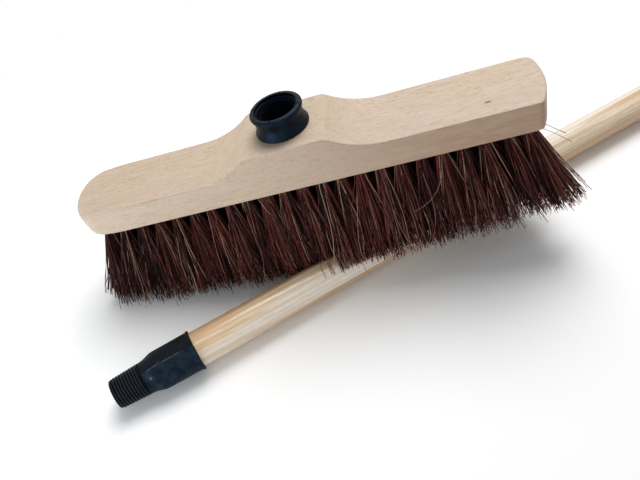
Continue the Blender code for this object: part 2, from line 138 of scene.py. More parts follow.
def dress(piece, finish, body, node):
    piece.data.materials.clear()
    piece.data.materials.append(finish)
    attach(piece, body)
    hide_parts(node)
    print(piece.name, "has", len(piece.data.polygons), "faces")


# %% [markdown]
# ## Arithmetic on masks
#
# A material is a tree of nodes, and most of them do plain arithmetic on masks, which are
# numbers from 0 to 1 that say how much of an effect a spot gets. Each helper here adds a node
# or two and gives back the socket with the result, so a rule for a finish fits on one line.

# %% Node helpers
def add_node(tree, kind, **settings):
    made = tree.nodes.new(kind)
    for name, value in settings.items():
        setattr(made, name, value)
    return made


def join(tree, source, target):
    tree.links.new(source, target)


def settle(node, values):
    """Sets a node's own sockets to constant values, by name."""
    for name, value in values.items():
        node.inputs[name].default_value = value


def maths(tree, operation, first, second=None, clamp=False):
    node = add_node(tree, "ShaderNodeMath", operation=operation, use_clamp=clamp)
    for slot, value in zip(node.inputs, (first, second)):
        if isinstance(value, (int, float)):
            slot.default_value = value
        elif value is not None:
            join(tree, value, slot)
    return node.outputs[0]


def times(tree, first, second):
    return maths(tree, "MULTIPLY", first, second)


def plus(tree, first, second, clamp=False):
    return maths(tree, "ADD", first, second, clamp)


def minus(tree, first, second):
    return maths(tree, "SUBTRACT", first, second)


def opposite(tree, mask):
    return minus(tree, 1.0, mask)


def distance(tree, first, second):
    """Length of a way that goes so far along and so far across."""
    squares = [times(tree, part, part) for part in (first, second)]
    return maths(tree, "SQRT", plus(tree, *squares))


def split(tree, vector):
    parts = add_node(tree, "ShaderNodeSeparateXYZ")
    join(tree, vector, parts.inputs[0])
    return parts.outputs


def stretched_noise(tree, vector, stretch, scale, detail, roughness):
    mapping = add_node(tree, "ShaderNodeMapping")
    settle(mapping, {"Scale": stretch})
    join(tree, vector, mapping.inputs["Vector"])
    noise = add_node(tree, "ShaderNodeTexNoise")
    settle(noise, {"Scale": scale, "Detail": detail, "Roughness": roughness})
    join(tree, mapping.outputs[0], noise.inputs["Vector"])
    return noise.outputs["Fac"]


def ranged(tree, value, low, high):
    """A soft step from 0 to 1 as a value goes from low to high."""
    node = add_node(tree, "ShaderNodeMapRange", interpolation_type="SMOOTHSTEP")
    settle(node, {"From Min": low, "From Max": high})
    join(tree, value, node.inputs["Value"])
    return node.outputs[0]


def new_group(name, inputs, outputs):
    """An empty node group with a vector and some numbers going in and masks coming out."""
    tree = bpy.data.node_groups.new(name, "ShaderNodeTree")
    tree.interface.new_socket(name="Vector", in_out="INPUT", socket_type="NodeSocketVector")
    for label, value in inputs.items():
        made = tree.interface.new_socket(
            name=label, in_out="INPUT", socket_type="NodeSocketFloat")
        made.default_value = value
    for label in outputs:
        tree.interface.new_socket(name=label, in_out="OUTPUT", socket_type="NodeSocketFloat")
    return tree, add_node(tree, "NodeGroupInput").outputs, add_node(tree, "NodeGroupOutput").inputs


def grouped(tree, group, vector, values):
    """A group node in a material, and what it gives out."""
    node = add_node(tree, "ShaderNodeGroup")
    node.node_tree = group
    settle(node, values)
    join(tree, vector, node.inputs["Vector"])
    return node.outputs


# %% [markdown]
# ## Finishes that share one wood figure
#
# Both woods show the same things at different strengths: broad bands of colour from the
# growth rings, a soft drift of tone, and fine dark flecks drawn out along the grain. Because
# that is one effect, it is built once as a node group. The group works on real positions in
# metres with the grain along X. The rings lie round the heart of the tree, which is a line
# beside the piece, so a carved ramp cuts through them and shows curved lines, as real wood
# does. It gives out masks only, and each wood colours them by itself.

# %% A node group for wood figure
ROUND_TO_LENGTH = 0.03
RING_SHARPNESS = 2.2
SHORT_FLECKS = 0.6


def wood_figure_group():
    tree, given, result = new_group(
        "wood_figure",
        {"Ring Spacing": 0.004, "Ring Waver": 0.003, "Heart Depth": 0.060, "Heart Side": -0.007},
        ("Rings", "Drift", "Flecks", "Fibre"))
    vector = given["Vector"]
    along, side, up = split(tree, vector)
    across = minus(tree, side, given["Heart Side"])
    depth = plus(tree, up, given["Heart Depth"])
    radius = distance(tree, across, depth)

    waver = minus(tree, stretched_noise(tree, vector, (7.0, 19.0, 19.0), 1.0, 3.0, 0.5), 0.5)
    shift = times(tree, waver, given["Ring Waver"])
    turns = maths(tree, "DIVIDE", plus(tree, radius, shift), given["Ring Spacing"])
    join(tree, maths(tree, "POWER", maths(tree, "FRACT", turns), RING_SHARPNESS), result["Rings"])

    layer = add_node(tree, "ShaderNodeCombineXYZ")
    turned = times(tree, maths(tree, "ARCTAN2", across, depth), ROUND_TO_LENGTH)
    for value, slot in zip((along, radius, turned), layer.inputs):
        join(tree, value, slot)
    layered = layer.outputs[0]
    drift = stretched_noise(tree, vector, (9.0, 42.0, 42.0), 1.0, 4.0, 0.55)
    long_fleck = stretched_noise(tree, layered, (180.0, 2300.0, 540.0), 1.0, 1.5, 0.5)
    short_fleck = stretched_noise(tree, layered, (440.0, 4200.0, 1300.0), 1.0, 2.0, 0.5)
    short = times(tree, ranged(tree, short_fleck, 0.58, 0.72), SHORT_FLECKS)
    fibre = stretched_noise(tree, layered, (40.0, 2200.0, 300.0), 1.0, 5.0, 0.62)
    join(tree, drift, result["Drift"])
    flecks = plus(tree, ranged(tree, long_fleck, 0.56, 0.70), short, clamp=True)
    join(tree, flecks, result["Flecks"])
    join(tree, fibre, result["Fibre"])
    return tree


wood_figure = wood_figure_group()
print("wood figure group with", len(wood_figure.nodes), "nodes")

# %% [markdown]
# ## Finishes as layers of colour
#
# A finish is built up like paint: a ground tone, then one layer of colour after another, each
# laid on through its own mask. The masks read Object coordinates, turned into the frame of the
# board or of the stick where the grain has to follow it. The height for the Bump node comes
# from masks of the same group, so that a dark fleck in the wood is also a small dent.

# %% Material helpers
def plain_material(name):
    made = bpy.data.materials.new(name)
    made.use_nodes = True
    return made, made.node_tree, made.node_tree.nodes["Principled BSDF"]


def object_vector(tree):
    return add_node(tree, "ShaderNodeTexCoord").outputs["Object"]


def framed_vector(tree, place):
    """Object coordinates turned into a piece's own frame."""
    mapping = add_node(tree, "ShaderNodeMapping", vector_type="TEXTURE")
    settle(mapping, {"Location": place.to_translation(), "Rotation": place.to_euler("XYZ")})
    join(tree, object_vector(tree), mapping.inputs["Vector"])
    return mapping.outputs[0]


def mixed(tree, amount, first, second):
    node = add_node(tree, "ShaderNodeMix", data_type="RGBA")
    for place, value in ((0, amount), (6, first), (7, second)):
        slot = node.inputs[place]
        if isinstance(value, tuple):
            slot.default_value = (*value, 1.0)
        else:
            join(tree, value, slot)
    return node.outputs[2]


def coloured(tree, tone, layers):
    """A tone with layers of colour over it, each given as a mask, a strength and a colour."""
    for mask, strength, colour in layers:
        tone = mixed(tree, times(tree, mask, strength), tone, colour)
    return tone


def bumped(tree, height, depth, strength, shader):
    node = add_node(tree, "ShaderNodeBump")
    settle(node, {"Distance": depth, "Strength": strength})
    join(tree, height, node.inputs["Height"])
    join(tree, node.outputs[0], shader.inputs["Normal"])


def facing(tree, along):
    """How far a face points along a direction, from -1 to 1."""
    geometry = add_node(tree, "ShaderNodeNewGeometry")
    dot = add_node(tree, "ShaderNodeVectorMath", operation="DOT_PRODUCT")
    join(tree, geometry.outputs["Normal"], dot.inputs[0])
    dot.inputs[1].default_value = along
    return dot.outputs["Value"]


def end_grain(tree, grain, low, high):
    """Mask of the faces that show end grain, for a grain along a direction."""
    return ranged(tree, maths(tree, "ABSOLUTE", facing(tree, grain)), low, high)


# %% [markdown]
# ## Bare beech
#
# The board is planed beech with no finish on it. It is pale, a little pink where it faces up,
# and covered in short fine flecks. Its front side is painted darker and redder towards the
# right end: that is painted shade. The planer left faint slanting streaks on the front. The
# grain runs along the board, so the position is first turned into the head's frame by a
# Mapping node. End grain, which shows on the rounded ends, is darker, so the material looks
# at how far a face points along the grain.

# %% Beech material
BEECH = (0.690, 0.560, 0.420)
PINK_BEECH = (0.725, 0.585, 0.488)
PINKER_ALONG = 1.6
# Painted shade: a darker, redder tone laid on the front face towards the right end.
FRONT_PAINTED_SHADE = (0.440, 0.285, 0.195)
MOTTLE = (0.590, 0.462, 0.345)
RING_BROWN = (0.47, 0.33, 0.225)
FIBRE_BROWN = (0.50, 0.37, 0.27)
STREAK_BROWN = (0.44, 0.345, 0.265)
STREAK_SLANT = math.radians(52.0)
FLECK_BROWN = (0.40, 0.26, 0.165)
BARK = (0.085, 0.042, 0.026)
END_BROWN = (0.40, 0.27, 0.18)
KNOT = (0.1383, -0.0138)
KNOT_REACH = (0.0026, 0.0008)


def knot_mask(tree, vector):
    """One small dark fleck of bark on the long arm."""
    parts = split(tree, vector)
    away = [maths(tree, "DIVIDE", minus(tree, part, middle), reach)
            for part, middle, reach in zip(parts, KNOT, KNOT_REACH)]
    squares = [times(tree, far, far) for far in away]
    near = opposite(tree, ranged(tree, plus(tree, *squares), 0.2, 1.3))
    return times(tree, near, ranged(tree, parts[2], 0.016, 0.020))


def beech_material():
    made, tree, shader = plain_material("bare_beech")
    vector = framed_vector(tree, head_place)
    figure = grouped(tree, wood_figure, vector, {
        "Ring Spacing": 0.0014, "Ring Waver": 0.0065, "Heart Depth": 0.050, "Heart Side": 0.040})
    along = split(tree, vector)[0]
    drift = ranged(tree, figure["Drift"], 0.34, 0.66)
    pinker = plus(tree, times(tree, along, PINKER_ALONG), drift, clamp=True)
    front = ranged(tree, facing(tree, head_turn @ Vector((0.0, -1.0, 0.0))), 0.35, 0.85)
    level = ranged(tree, facing(tree, head_turn @ Vector((0.0, 0.0, 1.0))), 0.86, 0.995)
    ring_strength = minus(tree, 0.34, times(tree, level, 0.20))
    mottle = stretched_noise(tree, vector, (45.0, 260.0, 260.0), 1.0, 3.0, 0.6)
    planed = add_node(tree, "ShaderNodeMapping")
    settle(planed, {"Rotation": (0.0, STREAK_SLANT, 0.0)})
    join(tree, vector, planed.inputs["Vector"])
    streaks = stretched_noise(tree, planed.outputs[0], (70.0, 200.0, 620.0), 1.0, 3.0, 0.55)
    colour = coloured(tree, mixed(tree, pinker, BEECH, PINK_BEECH), (
        # Painted shade on the front face, growing towards the right end.
        (front, ranged(tree, along, -0.06, 0.14), FRONT_PAINTED_SHADE),
        (ranged(tree, mottle, 0.40, 0.66), 0.40, MOTTLE),
        (figure["Rings"], ring_strength, RING_BROWN),
        (ranged(tree, figure["Fibre"], 0.35, 0.70), 0.26, FIBRE_BROWN),
        (times(tree, ranged(tree, streaks, 0.46, 0.66), front), 0.11, STREAK_BROWN),
        (figure["Flecks"], 0.48, FLECK_BROWN),
        (knot_mask(tree, vector), 0.95, BARK),
        (end_grain(tree, head_turn @ Vector((1.0, 0.0, 0.0)), 0.55, 0.95), 0.25, END_BROWN),
    ))
    join(tree, colour, shader.inputs["Base Color"])
    settle(shader, {"Roughness": 0.66, "Specular IOR Level": 0.25})
    bumped(tree, minus(tree, figure["Fibre"], figure["Flecks"]), 0.00016, 0.4, shader)
    return made


beech = beech_material()
print("material", beech.name)

# %% [markdown]
# ## Lacquered handle wood
#
# The handle is a round of light wood under clear lacquer. Its figure is long and streaky, from
# pale straw to golden brown, and the lacquer adds a shine of its own, which is what the
# shader's coat is for. One side of the stick is painted nearly white as a painted highlight,
# and the opposite side darker as painted shade. That pale side winds slowly round the stick,
# so it lies where the light falls along its length.

# %% Handle material
STICK = 0.0140
# The painted highlight's side: where it faces at the nose, and how fast it turns along the stick.
PAINTED_LIGHT_TURN = -1.212
PAINTED_LIGHT_TWIST = -4.93
STREAK_WANDER = 1.1
GOLDEN = (0.66, 0.420, 0.200)
STRAW = (0.96, 0.830, 0.640)
HANDLE_PAINTED_HIGHLIGHT = (1.0, 0.925, 0.810)
HANDLE_PAINTED_SHADE = (0.62, 0.375, 0.190)
HANDLE_RING = (0.60, 0.36, 0.16)
HANDLE_FIBRE = (0.44, 0.26, 0.12)
HANDLE_FLECK = (0.30, 0.16, 0.07)
HANDLE_END = (0.40, 0.24, 0.11)


def painted_light_side(tree):
    """How far a point lies towards the side painted as a highlight, from -1 to 1."""
    x, y, along = split(tree, framed_vector(tree, handle_place))
    turn = plus(tree, times(tree, along, PAINTED_LIGHT_TWIST), PAINTED_LIGHT_TURN)
    cosine, sine = maths(tree, "COSINE", turn), maths(tree, "SINE", turn)
    towards = plus(tree, times(tree, x, cosine), times(tree, y, sine))
    return maths(tree, "DIVIDE", towards, STICK)


def handle_material():
    made, tree, shader = plain_material("lacquered_handle_wood")
    vector = framed_vector(tree, handle_place @ Matrix.Rotation(math.pi / 2, 4, "Y"))
    figure = grouped(tree, wood_figure, vector, {
        "Ring Spacing": 0.0034, "Ring Waver": 0.010, "Heart Depth": 0.019})
    streak = stretched_noise(tree, vector, (4.5, 170.0, 170.0), 1.0, 5.0, 0.6)
    side = plus(tree, painted_light_side(tree), times(tree, minus(tree, streak, 0.5), STREAK_WANDER))
    grain = handle_place.to_3x3() @ Vector((0.0, 0.0, 1.0))
    colour = coloured(tree, mixed(tree, ranged(tree, streak, 0.38, 0.60), GOLDEN, STRAW), (
        # A pale side as painted highlight, and a darker opposite side as painted shade.
        (ranged(tree, side, 0.66, 0.98), 0.90, HANDLE_PAINTED_HIGHLIGHT),
        (opposite(tree, ranged(tree, side, -0.25, 0.45)), 0.85, HANDLE_PAINTED_SHADE),
        (figure["Rings"], 0.38, HANDLE_RING),
        (ranged(tree, figure["Fibre"], 0.40, 0.70), 0.22, HANDLE_FIBRE),
        (figure["Flecks"], 0.22, HANDLE_FLECK),
        (end_grain(tree, grain, 0.70, 0.97), 0.55, HANDLE_END),
    ))
    join(tree, colour, shader.inputs["Base Color"])
    settle(shader, {"Roughness": 0.36, "Coat Weight": 0.9, "Coat Roughness": 0.20})
    bumped(tree, figure["Fibre"], 0.00008, 0.2, shader)
    return made


handle_wood = handle_material()
print("material", handle_wood.name)

# %% [markdown]
# ## Dark moulded plastic
#
# The socket and the threaded end are moulded in a blue-black plastic. It is satin, with a
# faint mottle from the mould and light scuffs. Both effects are in one node group, which three
# materials use: the outside of the socket, its inside, which is hardly lit and is painted
# nearly black as painted shade, and the threaded end. The tint of the shine is a constant, so
# it stays on the shader.

# %% Node group and materials for the socket
NAVY = (0.0052, 0.0112, 0.0215)
NEAR_BLACK = (0.0030, 0.0038, 0.0050)
# Tones for the inside of the socket, painted nearly black as painted shade.
INSIDE_PAINTED_SHADE_DARK = (0.0010, 0.0012, 0.0028)
INSIDE_PAINTED_SHADE_LIGHT = (0.0020, 0.0026, 0.0070)
SLEEVE_NAVY = (0.0170, 0.0270, 0.0400)
SCUFF_BLUE = (0.026, 0.040, 0.058)
SHINE_TINT = (0.42, 0.66, 1.0, 1.0)


def moulded_surface_group():
    tree, given, result = new_group("moulded_surface", {}, ("Mottle", "Scuffs", "Roughness"))
    mottle = stretched_noise(tree, given["Vector"], (1.0, 1.0, 1.0), 140.0, 4.0, 0.6)
    scuff = stretched_noise(tree, given["Vector"], (1.0, 0.35, 0.6), 900.0, 3.0, 0.6)
    rough = add_node(tree, "ShaderNodeMapRange")
    settle(rough, {"To Min": 0.32, "To Max": 0.52})
    join(tree, mottle, rough.inputs["Value"])
    join(tree, mottle, result["Mottle"])
    join(tree, ranged(tree, scuff, 0.60, 0.72), result["Scuffs"])
    join(tree, rough.outputs[0], result["Roughness"])
    return tree


moulded_surface = moulded_surface_group()


def moulded_plastic(name, vector_of, dark, light, shine):
    """A plastic between two tones, with its tree, its shader, its vector and its colour."""
    made, tree, shader = plain_material(name)
    vector = vector_of(tree)
    surface = grouped(tree, moulded_surface, vector, {})
    tone = mixed(tree, ranged(tree, surface["Mottle"], 0.38, 0.66), dark, light)
    worn = coloured(tree, tone, [(surface["Scuffs"], 0.25, SCUFF_BLUE)])
    join(tree, worn, shader.inputs["Base Color"])
    join(tree, surface["Roughness"], shader.inputs["Roughness"])
    settle(shader, {"Specular IOR Level": shine, "Specular Tint": SHINE_TINT})
    bumped(tree, surface["Mottle"], 0.00010, 0.25, shader)
    return made, tree, shader, vector, worn


socket_plastic = moulded_plastic("blue_black_plastic", object_vector, NEAR_BLACK, NAVY, 0.13)[0]
# The inside of the socket: a near-black material that is painted shade.
inside_painted_shade = moulded_plastic("socket_inside_painted_shade", object_vector, INSIDE_PAINTED_SHADE_DARK, INSIDE_PAINTED_SHADE_LIGHT, 0.05)[0]
print("materials", socket_plastic.name, "and", inside_painted_shade.name)

# %% [markdown]
# The threaded end was made in a mould of two halves, and a faint parting line runs along the
# sleeve where they met. One side of that line is painted darker and greyer as painted shade,
# so the other side looks bluer, and a broken pale line along it is a painted highlight. A soft
# lighter blue patch round the gate mark and a pale dot on the mark are painted highlights too,
# and a light smear near the line is a scuff. The thread is made nearly black, darker still in
# its grooves as painted shade, and its crests are painted lighter as a painted highlight. All
# of this follows from where a point lies round and along the handle's axis.

# %% Material for the threaded end
THREAD_TIP = 0.0230
THREAD_BASE = 0.0255
THREAD_LENGTH = 0.0240
THREAD_PITCH = 0.0021
THREAD_DEPTH = 0.0005
PARTING_TURN = math.radians(-158.4)
PARTING_START = (0.0270, 0.0300)
PARTING_END = (0.0530, 0.0560)
GATE_TURN = math.radians(-131.3)
GATE_ALONG = 0.0286
SCUFF_TURN = math.radians(-162.0)
SCUFF_ALONG = 0.0385
# Colours over the sleeve and the thread: painted shade on one half of the sleeve and in the thread's
# grooves, painted highlights along the parting line, round the gate and on the thread's crests, and a
# scuff at the rubbed spot.
SLEEVE_PAINTED_SHADE = (0.0062, 0.0066, 0.0062)
PARTING_PAINTED_HIGHLIGHT = (0.115, 0.120, 0.140)
GATE_PAINTED_SHEEN = (0.034, 0.052, 0.070)
RUBBED_SPOT = (0.085, 0.100, 0.110)
GATE_DOT_PAINTED_HIGHLIGHT = (0.130, 0.160, 0.190)
THREAD_BLACK = (0.0022, 0.0024, 0.0030)
GROOVE_PAINTED_SHADE = (0.0004, 0.0004, 0.0006)
CREST_PAINTED_HIGHLIGHT = (0.052, 0.056, 0.064)
SIDE_STEP = 0.001


def turned_parts(tree, x, y, turn):
    """A point's part towards a direction round the axis, and its part to one side of it."""
    towards = plus(tree, times(tree, x, math.cos(turn)), times(tree, y, math.sin(turn)))
    aside = minus(tree, times(tree, x, math.sin(turn)), times(tree, y, math.cos(turn)))
    return towards, aside


def spot(tree, place, turn, at, core, edge):
    """A soft round patch on one side of the sleeve, at a distance along it."""
    x, y, along = place
    towards, aside = turned_parts(tree, x, y, turn)
    far = distance(tree, aside, minus(tree, along, at))
    near = opposite(tree, ranged(tree, far, core, edge))
    return times(tree, near, ranged(tree, towards, 0.0, SIDE_STEP))


def ferrule_material():
    made, tree, shader, vector, worn = moulded_plastic(
        "threaded_end_plastic", lambda tree: framed_vector(tree, handle_place),
        NAVY, SLEEVE_NAVY, 0.07)
    place = x, y, along = split(tree, vector)
    towards, aside = turned_parts(tree, x, y, PARTING_TURN)
    lines = stretched_noise(tree, vector, (1.0, 1.0, 1.0), 420.0, 2.0, 0.5)
    thin = opposite(tree, ranged(tree, maths(tree, "ABSOLUTE", aside), 0.00012, 0.00042))
    begun = ranged(tree, along, *PARTING_START)
    span = times(tree, begun, opposite(tree, ranged(tree, along, *PARTING_END)))
    edge = times(tree, times(tree, thin, span), ranged(tree, towards, 0.0, SIDE_STEP))
    rubbed = spot(tree, place, SCUFF_TURN, SCUFF_ALONG, 0.0002, 0.0016)
    slope = (THREAD_BASE - THREAD_TIP) / 2 / THREAD_LENGTH
    root = plus(tree, times(tree, along, slope), THREAD_TIP / 2 - THREAD_DEPTH)
    height = maths(tree, "DIVIDE", minus(tree, distance(tree, x, y), root), THREAD_DEPTH)
    on_thread = opposite(tree, ranged(tree, along, THREAD_LENGTH - 0.0004, THREAD_LENGTH))
    groove = times(tree, opposite(tree, ranged(tree, height, 0.15, 0.75)), on_thread)
    colour = coloured(tree, worn, (
        # Painted shade: one half of the sleeve darker.
        (ranged(tree, aside, 0.0, 0.0006), 0.85, SLEEVE_PAINTED_SHADE),
        # Painted highlight: a broken pale line along the parting line.
        (times(tree, edge, ranged(tree, lines, 0.30, 0.55)), 0.75, PARTING_PAINTED_HIGHLIGHT),
        # Painted highlight: a soft lighter blue patch round the gate mark.
        (spot(tree, place, GATE_TURN, GATE_ALONG, 0.0004, 0.0042), 0.45, GATE_PAINTED_SHEEN),
        (times(tree, rubbed, ranged(tree, lines, 0.35, 0.60)), 0.60, RUBBED_SPOT),
        # Painted highlight: a pale dot on the gate mark.
        (spot(tree, place, GATE_TURN, GATE_ALONG, 0.0005, 0.0011), 0.80, GATE_DOT_PAINTED_HIGHLIGHT),
        (on_thread, 0.85, THREAD_BLACK),
        # Painted shade: the thread's grooves darker.
        (groove, 0.97, GROOVE_PAINTED_SHADE),
        # Painted highlight: the thread's crests lighter.
        (times(tree, ranged(tree, height, 0.80, 0.98), on_thread), 0.75, CREST_PAINTED_HIGHLIGHT),
    ))
    join(tree, colour, shader.inputs["Base Color"])
    return made


ferrule_plastic = ferrule_material()
print("material", ferrule_plastic.name, "with", len(ferrule_plastic.node_tree.nodes), "nodes")

# %% [markdown]
# ## Dark fibre and anchor wire
#
# The tufts are a stiff plant fibre, dyed or naturally dark: most strands are nearly black,
# some are maroon, and a few are red-brown or a greyish tan. Each strand carries its own tone
# as an attribute on its points, and the material turns that number into a colour. The anchors
# are flat steel wire.

# %% Fibre and wire materials
FIBRE_COLOURS = (
    (0.0, (0.0055, 0.0024, 0.0027)),
    (0.30, (0.0175, 0.0060, 0.0062)),
    (0.50, (0.0560, 0.0135, 0.0135)),
    (0.64, (0.1600, 0.0290, 0.0260)),
    (0.74, (0.2150, 0.0660, 0.0480)),
    (0.84, (0.2600, 0.1450, 0.1100)),
    (1.0, (0.5200, 0.3600, 0.2600)),
)
FIBRE_PATCHES = 0.16
WIRE_DARK = (0.38, 0.38, 0.39)
WIRE_LIGHT = (0.62, 0.62, 0.63)


def fibre_material():
    made, tree, shader = plain_material("dark_stiff_fibre")
    tone = add_node(tree, "ShaderNodeAttribute", attribute_name="fibre_tone").outputs["Fac"]
    patch = stretched_noise(tree, object_vector(tree), (1.0, 1.0, 0.3), 260.0, 3.0, 0.6)
    patched = plus(tree, tone, times(tree, minus(tree, patch, 0.5), FIBRE_PATCHES))
    ramp = add_node(tree, "ShaderNodeValToRGB")
    stops = ramp.color_ramp.elements
    while len(stops) < len(FIBRE_COLOURS):
        stops.new(0.5)
    for stop, (position, colour) in zip(stops, FIBRE_COLOURS):
        stop.position = position
        stop.color = (*colour, 1.0)
    join(tree, patched, ramp.inputs["Fac"])
    join(tree, ramp.outputs["Color"], shader.inputs["Base Color"])
    settle(shader, {
        "Roughness": 0.45, "Specular IOR Level": 0.14, "Specular Tint": (1.0, 0.78, 0.70, 1.0)})
    return made


def wire_material():
    made, tree, shader = plain_material("flat_steel_wire")
    brushed = stretched_noise(tree, object_vector(tree), (1.0, 1.0, 6.0), 900.0, 2.0, 0.5)
    tone = mixed(tree, brushed, WIRE_DARK, WIRE_LIGHT)
    join(tree, tone, shader.inputs["Base Color"])
    settle(shader, {"Metallic": 1.0, "Roughness": 0.35})
    return made


fibre = fibre_material()
wire = wire_material()
print("materials", fibre.name, "and", wire.name)

# %% [markdown]
# ## The beech board
#
# Seen from above the board is a long bar with arched ends, and seen from the side it has
# thin arms and a flat-topped hump with hollow ramps. It is made flat first. A circle's points
# are moved onto the outline, and the loop is then extruded again and again: each new loop is
# lifted a little and drawn in or out, which rounds the lower edges, goes up the wall and
# rounds the upper edges. The left end has been sanded much rounder than the rest.
#
# Last, straight cuts are made across the slab, and the upper points are lifted to the hump.
# Each flat face gets a narrow ring of face along its border, which keeps the smooth shading of
# the rounded edges from spilling over it.

# %% Sizes of the board
BOARD_WIDTH = 0.0575
ARM_THICKNESS = 0.0224
HUMP_HEIGHT = 0.0369
HUMP_TOP = 0.060
RAMP_RUN = 0.0415
HUMP_SHIFT = -0.0016
HUMP_EASE = 0.0024
EASE_SHARES = (-1.0, -0.6, -0.2, 0.2, 0.6, 1.0)
# How far it reaches, the arch's radius, the front and the back corner's, and the skew.
RIGHT_END = (0.1784, 0.0768, 0.0042, 0.0095, 0.0026)
LEFT_END = (0.1830, 0.0375, 0.0140, 0.0205, 0.0022)
SPARE = 0.006

ROWS = 5
TUFTS = 23
TUFT_PITCH = 0.0146
ROW_PITCH = 0.0112
TUFT_HOLE = 0.0031
HOLE_DEPTH = 0.0118
SPIGOT_HOLE = 0.0168
SPIGOT_DEPTH = 0.0148


def row_y(row):
    return (row - (ROWS - 1) / 2) * ROW_PITCH


def row_tufts(row):
    count = TUFTS - row % 2
    return [(place - (count - 1) / 2) * TUFT_PITCH for place in range(count)]


def sharp_hump(x):
    """Height of the board's top at a distance along it, before its creases are eased."""
    out = abs(x - HUMP_SHIFT) - HUMP_TOP / 2
    rise = HUMP_HEIGHT - ARM_THICKNESS
    if out <= 0:
        return HUMP_HEIGHT
    if out >= RAMP_RUN:
        return ARM_THICKNESS
    radius = (RAMP_RUN ** 2 + rise ** 2) / (2 * rise)
    return ARM_THICKNESS + radius - math.sqrt(radius ** 2 - (RAMP_RUN - out) ** 2)


def hump(x):
    return sum(sharp_hump(x + HUMP_EASE * share) for share in EASE_SHARES) / len(EASE_SHARES)


# %% Plan of the board
STRAIGHT = (0.140, 0.146, 0.152, 0.158)
SKEW_RUN = 0.03


def arc(centre, radii, start, end, steps):
    """Points round part of a circle, or of an oval where the two radii differ."""
    turns = [start + (end - start) * step / steps for step in range(steps + 1)]
    return [(centre[0] + radii[0] * math.cos(turn), centre[1] + radii[1] * math.sin(turn))
            for turn in turns]


def end_outline(reach, end_radius, front_corner, back_corner, skew):
    """Points round an arched end that reaches a distance from the middle, from front to back.

    The saw cut the ends a little out of square, which the skew follows.
    """
    middle = reach - end_radius
    corners = []
    for radius, side in ((front_corner, -1), (back_corner, 1)):
        y = side * (BOARD_WIDTH / 2 - radius)
        x = middle + math.sqrt((end_radius - radius) ** 2 - y ** 2)
        corners.append(((x, y), (radius, radius), math.atan2(y, x - middle)))
    (front, front_radii, front_turn), (back, back_radii, back_turn) = corners
    points = [(x, -BOARD_WIDTH / 2) for x in STRAIGHT]
    points += arc(front, front_radii, -math.pi / 2, front_turn, 10)
    points += arc((middle, 0.0), (end_radius, end_radius), front_turn, back_turn, 30)[1:-1]
    points += arc(back, back_radii, back_turn, math.pi / 2, 12)
    points += [(x, BOARD_WIDTH / 2) for x in reversed(STRAIGHT)]
    return [(x + skew * 2 * y / BOARD_WIDTH * min(1.0, (x - STRAIGHT[0]) / SKEW_RUN), y)
            for x, y in points]


outline = end_outline(*RIGHT_END) + [(-x, y) for x, y in reversed(end_outline(*LEFT_END))]
print("plan with", len(outline), "points")

# %% Flat slab with rounded edges
FRONT_ROUND = 0.0011
BACK_ROUND = 0.0020
MOST_ROUND = 0.0060
SANDED_FROM = 0.146
SANDED_OVER = 0.028
SANDED_CURVE = 1.5
RIGHT_WEAR = 0.10
RING = 0.0003
ROUND_SEGMENTS = 5


def sanded(x, y):
    """How far an edge at a spot on the board is rounded."""
    towards_end = max(0.0, min(1.0, (abs(x) - SANDED_FROM) / SANDED_OVER))
    worn = RIGHT_WEAR if x > 0 else 1.0
    least = FRONT_ROUND if y < 0 else BACK_ROUND
    return least + (MOST_ROUND - least) * towards_end ** SANDED_CURVE * worn


def inward(place):
    """Unit direction from a point of the outline into the board."""
    before, after = outline[place - 1], outline[(place + 1) % len(outline)]
    return Vector((before[1] - after[1], after[0] - before[0], 0.0)).normalized()


def loop_edges(bm, loop):
    return [bm.edges.get(pair) for pair in zip(loop, loop[1:] + loop[:1])]


def extruded_loop(bm, loop):
    """A new loop grown from a loop of points, in the same order."""
    grown = bmesh.ops.extrude_edge_only(bm, edges=loop_edges(bm, loop))
    fresh = {item for item in grown["geom"] if isinstance(item, bmesh.types.BMVert)}
    around = [[edge.other_vert(vert) for edge in vert.link_edges] for vert in loop]
    return [next(other for other in others if other in fresh) for others in around]


# A level says how far its loop is drawn in, in roundings and in rings, and how far it is lifted.
turns = [math.pi / 2 * step / ROUND_SEGMENTS for step in range(ROUND_SEGMENTS + 1)]
rounding = [(1 - math.sin(turn), 0, 1 - math.cos(turn), 0) for turn in turns]
lower = [(1.0, 1, 0.0, 0), *rounding, (0.0, 0, 1.0, 1)]
levels = [(level, 0) for level in lower] + [(level, 1) for level in reversed(lower)]

bm = bmesh.new()
loop = bmesh.ops.create_circle(bm, cap_ends=True, segments=len(outline), radius=1.0)["verts"]
for count, ((draw_in, rings_in, lift, rings_up), upper) in enumerate(levels):
    loop = loop if count == 0 else extruded_loop(bm, loop)
    for place, vert in enumerate(loop):
        x, y = outline[place]
        ease = sanded(x, y)
        height = lift * ease + rings_up * RING
        vert.co = Vector((x, y, ARM_THICKNESS - height if upper else height))
        vert.co += inward(place) * (draw_in * ease + rings_in * RING)
bmesh.ops.contextual_create(bm, geom=loop_edges(bm, loop))
print("slab with", len(bm.faces), "faces and", len(levels), "loops")

# %% Hump and bored holes
RAMP_STEPS = 20
CUT = 0.000001


def bit(bm, x, y, low, high, radius, segments):
    """A round bit that stands in its hole, from the hole's floor to outside its mouth."""
    centre = Matrix.Translation((x, y, (low + high) / 2))
    bmesh.ops.create_cone(bm, cap_ends=True, segments=segments, radius1=radius, radius2=radius,
                          depth=high - low, matrix=centre)


